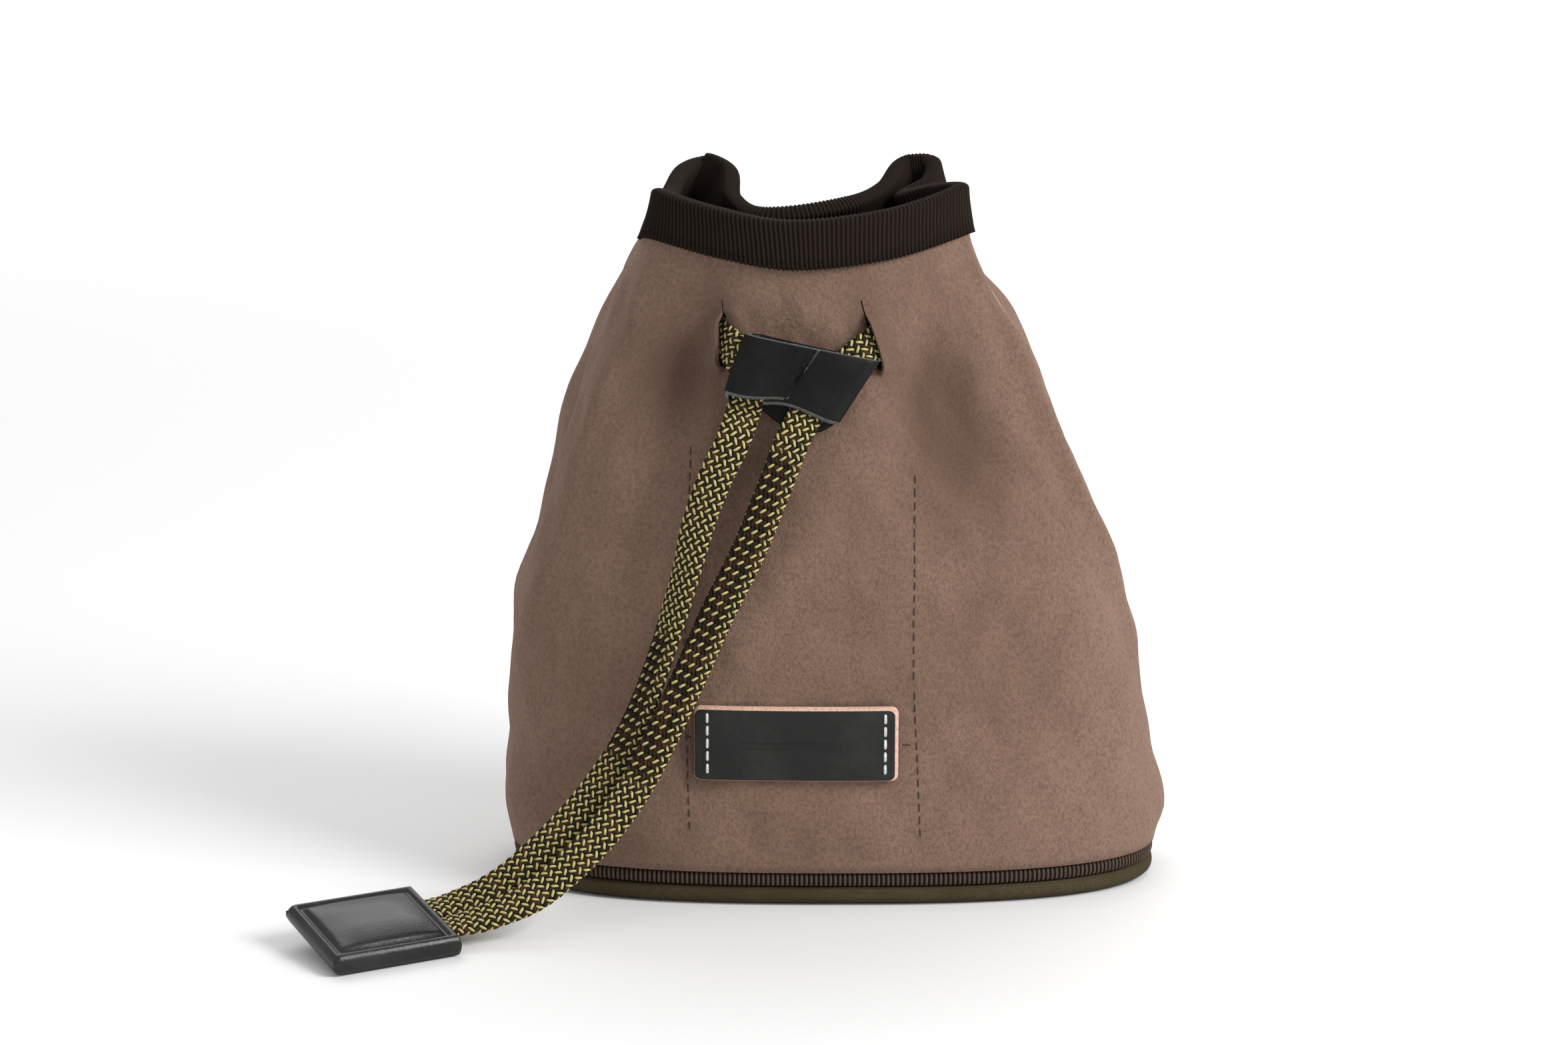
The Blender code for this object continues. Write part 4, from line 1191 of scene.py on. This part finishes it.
white_thread = Finish("white waxed thread", Roughness=0.6, Sheen_Weight=0.2)
twist = white_thread.noise(4200, 1.0, 0.5, (1, 1, 0.4))
white_thread.feed(
    Base_Color=white_thread.mix(white_thread.between(twist, 0.35, 0.65), (0.78, 0.77, 0.73, 1), (0.52, 0.50, 0.46, 1)),
    Normal=white_thread.bump(twist, 0.12 * MM),
)
stitch_starts, stitch_ends, stitch_facing = [], [], []
for end in (-1, 1):
    x = end * (LABEL_WIDTH / 2 - LABEL_STITCH_IN)
    for k in range(LABEL_STITCHES):
        low = (k - LABEL_STITCHES / 2 + 0.10) * LABEL_PITCH
        for z, found in ((low, stitch_starts), (low + 0.84 * LABEL_PITCH, stitch_ends)):
            found.append(label_point(x, z, FRONT_GAP + LABEL_THICK))
        share, rise = front_place(LABEL_ASIDE + x, LABEL_UP + low)
        stitch_facing.append(wall_frame(share, rise)[1])
label_thread = capsules("patch_stitches", stitch_starts, stitch_ends, stitch_facing, 0.36 * MM, white_thread, sink=0.0)

# The cord slider
# A strip of black leather wrapped round both strands: it starts under its own flap, goes round the right fold, the
# back and the left fold, and its end is lapped over the front and sewn down. Its cut edges are grey.
Corner = namedtuple("Corner", "name x z")
SLIDER_CORNERS = (
    Corner("top_left", -20.0, 140.2),
    Corner("top_right", 8.8, 133.6),
    Corner("low_left", -25.2, 124.8),
    Corner("low_right", -0.6, 119.6),
)
SLIDER_SEAM = 0.12
SLIDER_ROWS = 30
FLAP_SHORTER = 1.6 * MM
FLAP_LOW_WIDER = 2.0 * MM
BACK_LONGER = 4.6 * MM
FLAP_CORNER = 2.4 * MM
CUT_SLANT = 0.85 * MM
CUT_EDGE = (0.150, 0.155, 0.150, 1)
CUT_EDGE_DARK = (0.070, 0.072, 0.070, 1)
slider_leather = leather_finish(
    "dull black leather", 0.5, 0.14, light=(0.0110, 0.0110, 0.0105, 1), dark=(0.0045, 0.0045, 0.0043, 1)
)
slider_back = FRONT_GAP + LEATHER / 2
slider_front = CORD_OVER + CORD_THICK / 2 + CORD_CLEAR + LEATHER / 2
slider_flap = slider_front + LEATHER * 0.98
top_left, top_right, low_left, low_right = (np.array([c.x, c.z]) * MM for c in SLIDER_CORNERS)
slider_half = np.linalg.norm(top_right - top_left) / 2


def strip_line(count=132):
    """The strip's middle line in the slider's section: across from -1 to 1, depth, and the way that it faces."""
    right_round = (slider_front - slider_back) / 2
    left_round = (slider_flap - slider_back) / 2
    right_edge = 1 - right_round / slider_half
    left_edge = -1 + left_round / slider_half
    points = [(f, slider_front) for f in np.linspace(-0.35, right_edge, 22)[:-1]]
    for a in np.linspace(math.pi / 2, -math.pi / 2, 15):
        points.append((right_edge + right_round * math.cos(a) / slider_half,
                       slider_back + right_round + right_round * math.sin(a)))
    points += [(f, slider_back) for f in np.linspace(right_edge, left_edge, 24)[1:-1]]
    for a in np.linspace(-math.pi / 2, -1.5 * math.pi, 15):
        points.append((left_edge + left_round * math.cos(a) / slider_half,
                       slider_back + left_round + left_round * math.sin(a)))
    points += [(f, slider_flap) for f in np.linspace(left_edge, SLIDER_SEAM, 20)[1:]]
    points = np.array(points)
    way = way_along(points * np.array([slider_half, 1]))
    at = np.linspace(0, way[-1], count)
    return np.stack([np.interp(at, way, points[:, k]) for k in range(2)], 1), at, way[-1]


strip, strip_at, strip_long = strip_line()
strip_real = strip * np.array([slider_half, 1])
strip_ahead = unit(np.gradient(strip_real, axis=0))
strip_facing = np.stack([-strip_ahead[:, 1], strip_ahead[:, 0]], 1)
on_flap = smoothly((strip_at - strip_long + 17 * MM) / (2 * MM)) * (strip[:, 1] > slider_front)
on_back = np.exp(-(((strip_at / strip_long - 0.47) / 0.13) ** 4))
to_end = strip_long - strip_at
corner_rise = FLAP_CORNER - np.sqrt(np.maximum(FLAP_CORNER**2 - np.maximum(FLAP_CORNER - to_end, 0) ** 2, 0))


def slider_point(across, depth, down, low_shift):
    """Points of the slider: across and down run from corner to corner, low_shift lengthens its lower edge."""
    left = top_left + (low_left - top_left) * down[..., None]
    right = top_right + (low_right - top_right) * down[..., None]
    at = left + (right - left) * ((across + 1) / 2)[..., None]
    at = at + np.stack([0.25 * low_shift * down, -low_shift * down], -1)
    share, rise = front_place(at[..., 0], at[..., 1])
    return wall(share, rise, depth)


downs = np.linspace(0, 1, SLIDER_ROWS)
wavy = 1.1 * MM * np.cos(math.pi * (strip[:, 0] - 0.1) * 1.1) * (1 - on_back)
low_shift = BACK_LONGER * on_back - FLAP_SHORTER * on_flap - corner_rise * (on_flap > 0) - wavy
slider_faces_out = []
for face, slant, kept_downs in ((1, CUT_SLANT, 0.015 + 0.935 * downs), (-1, 0.0, downs)):
    across = strip[:, 0] + face * strip_facing[:, 0] * LEATHER / 2 / slider_half
    across = across - slant / slider_half * np.exp(-to_end / (0.5 * MM))
    depth = strip[:, 1] + face * strip_facing[:, 1] * LEATHER / 2
    wider = FLAP_LOW_WIDER / slider_half * smoothly(1 - to_end / (14 * MM))
    grid_across = across[:, None] + wider[:, None] * downs[None]
    grid_depth = np.repeat(depth[:, None], SLIDER_ROWS, 1)
    rounding = 0.25 * MM * (np.exp(-downs * 40) + np.exp(-(1 - downs) * 40))
    grid_depth = grid_depth - face * strip_facing[:, 1:2] * rounding[None]
    grid_down = np.repeat(kept_downs[None], len(strip), 0)
    slider_faces_out.append(slider_point(grid_across, grid_depth, grid_down, low_shift[:, None]))
outer_sheet, inner_sheet = slider_faces_out
count = len(strip)
first = np.arange(count * SLIDER_ROWS).reshape(count, SLIDER_ROWS)
second = first + count * SLIDER_ROWS
slider_faces, slider_kinds = [], []
for i in range(count - 1):
    for j in range(SLIDER_ROWS - 1):
        slider_faces.append([first[i, j], first[i, j + 1], first[i + 1, j + 1], first[i + 1, j]])
        slider_faces.append([second[i, j], second[i + 1, j], second[i + 1, j + 1], second[i, j + 1]])
        slider_kinds += [0, 0]
    slider_faces.append([first[i, 0], first[i + 1, 0], second[i + 1, 0], second[i, 0]])
    slider_faces.append([first[i + 1, -1], first[i, -1], second[i, -1], second[i + 1, -1]])
    slider_kinds += [1, 1]
for j in range(SLIDER_ROWS - 1):
    slider_faces.append([first[0, j + 1], first[0, j], second[0, j], second[0, j + 1]])
    slider_faces.append([first[-1, j], first[-1, j + 1], second[-1, j + 1], second[-1, j]])
    slider_kinds += [1, 1]
cut_leather = Finish("grey cut leather edge", Roughness=0.7, Specular_IOR_Level=0.3)
cut_fibre = cut_leather.noise(2200, 2.0, 0.6)
cut_leather.feed(
    Base_Color=cut_leather.mix(cut_leather.between(cut_fibre, 0.3, 0.7), CUT_EDGE, CUT_EDGE_DARK),
    Normal=cut_leather.bump(cut_fibre, 0.10 * MM),
)
slider = mesh_object(
    "leather_cord_slider", np.vstack([outer_sheet.reshape(-1, 3), inner_sheet.reshape(-1, 3)]), slider_faces,
    [slider_leather, cut_leather], face_finish=slider_kinds,
)
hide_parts("cord_slider")

FLAP_STITCHES = 5
flap_starts, flap_ends, flap_facing = [], [], []
for k in range(FLAP_STITCHES):
    for f, found in (((k + 0.75) / (FLAP_STITCHES + 1.2), flap_starts), ((k + 1.35) / (FLAP_STITCHES + 1.2), flap_ends)):
        across = np.array(SLIDER_SEAM - 2.2 * MM / slider_half)
        found.append(slider_point(across, np.array(slider_flap + LEATHER / 2), np.array(f), np.array(0.0)))
    flap_facing.append(wall_frame(*front_place(-8 * MM, 129 * MM))[1])
flap_thread = capsules("slider_stitches", flap_starts, flap_ends, flap_facing, 0.17 * MM, black_thread, sink=0.3)

# The end tab
# A strip of black leather folded at its far end over both cord ends, pressed and sewn in a sunk line all round, so
# that its middle stands up glossy between the cord ends. It rests on its front edge.
TAB_SEGMENTS = 110
TAB_SIDES = 120
TAB_GROOVE_IN = 2.6 * MM
TAB_CROWN = 1.7 * MM
TAB_SWELL = 9 * MM
TAB_SOFT = 1.5 * MM
tab_leather = leather_finish("glossy black leather", 0.34, 0.36, light=(0.022, 0.022, 0.021, 1))


def tab_height(ahead, aside):
    """The upper face of the tab: a swollen middle, a sunk sewn line and a flat rim."""
    ahead_in = np.minimum(ahead, TAB_LENGTH - ahead)
    aside_in = TAB_WIDTH / 2 - np.abs(aside)
    inset = np.minimum(ahead_in, aside_in)
    swell = [np.clip((way_in - TAB_GROOVE_IN) / TAB_SWELL, 0, 1) for way_in in (ahead_in, aside_in)]
    crown = TAB_CROWN * (1 - (1 - swell[0]) ** 2) * (1 - (1 - swell[1]) ** 2)
    groove = 0.85 * MM * np.exp(-(((inset - TAB_GROOVE_IN) / (0.8 * MM)) ** 2))
    edge = TAB_SOFT * (1 - np.sqrt(1 - np.clip(1 - inset / TAB_SOFT, 0, 1) ** 2)) * 0.75
    return TAB_THICK + crown - groove - edge


along = np.linspace(0, 1, TAB_SEGMENTS)
along = TAB_LENGTH * (along - 0.045 * np.sin(2 * math.pi * along) * 1.6)
sideways = TAB_WIDTH / 2 * np.linspace(-1, 1, TAB_SIDES // 2)
tab_rings = []
for ahead in along:
    from_end = min(ahead, TAB_LENGTH - ahead)
    fold = 1.0 if ahead > TAB_LENGTH / 2 else 0.35
    pinch = math.sqrt(1 - np.clip(1 - from_end / (TAB_SOFT * fold * 1.4), 0, 1) ** 2)
    top = tab_height(np.full(len(sideways), ahead), sideways)
    low = 0.25 * MM * (1 - pinch)
    middle_height = TAB_THICK * 0.45
    ring = []
    for y, z in zip(sideways, top):
        ring.append((ahead, y, middle_height + (z - middle_height) * max(pinch, 0.08)))
    for bulge, share in ((0.35, 0.62), (0.10, 0.50), (0.35, 0.38)):
        ring.append((ahead, TAB_WIDTH / 2 + bulge * MM * pinch, TAB_THICK * share))
    for y in sideways[::-1]:
        soft = TAB_SOFT * 0.4 * max(abs(y) / (TAB_WIDTH / 2) - 0.9, 0) / 0.1
        ring.append((ahead, y, middle_height + (low + soft * 0.5 - middle_height) * max(pinch, 0.08)))
    for bulge, share in ((0.35, 0.38), (0.10, 0.50), (0.35, 0.62)):
        ring.append((ahead, -TAB_WIDTH / 2 - bulge * MM * pinch, TAB_THICK * share))
    tab_rings.append(tab_point(*np.array(ring).T))
tab_rings = np.array(tab_rings)
ring_sides = tab_rings.shape[1]
tab_faces = tube_faces(len(tab_rings), ring_sides)
tab = mesh_object("leather_end_tab", tab_rings.reshape(-1, 3), tab_faces, [tab_leather])
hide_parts("end_tab")

for piece, slices, slit in ((left_cord, left_slices, SLITS[0]), (right_cord, right_slices, SLITS[1])):
    share, rise = front_place(slit.x * MM, slit.z * MM)
    wall(share, rise, 0.0).tolist()
    slices[0][::4].tolist() + [slices[0][-1].tolist()]
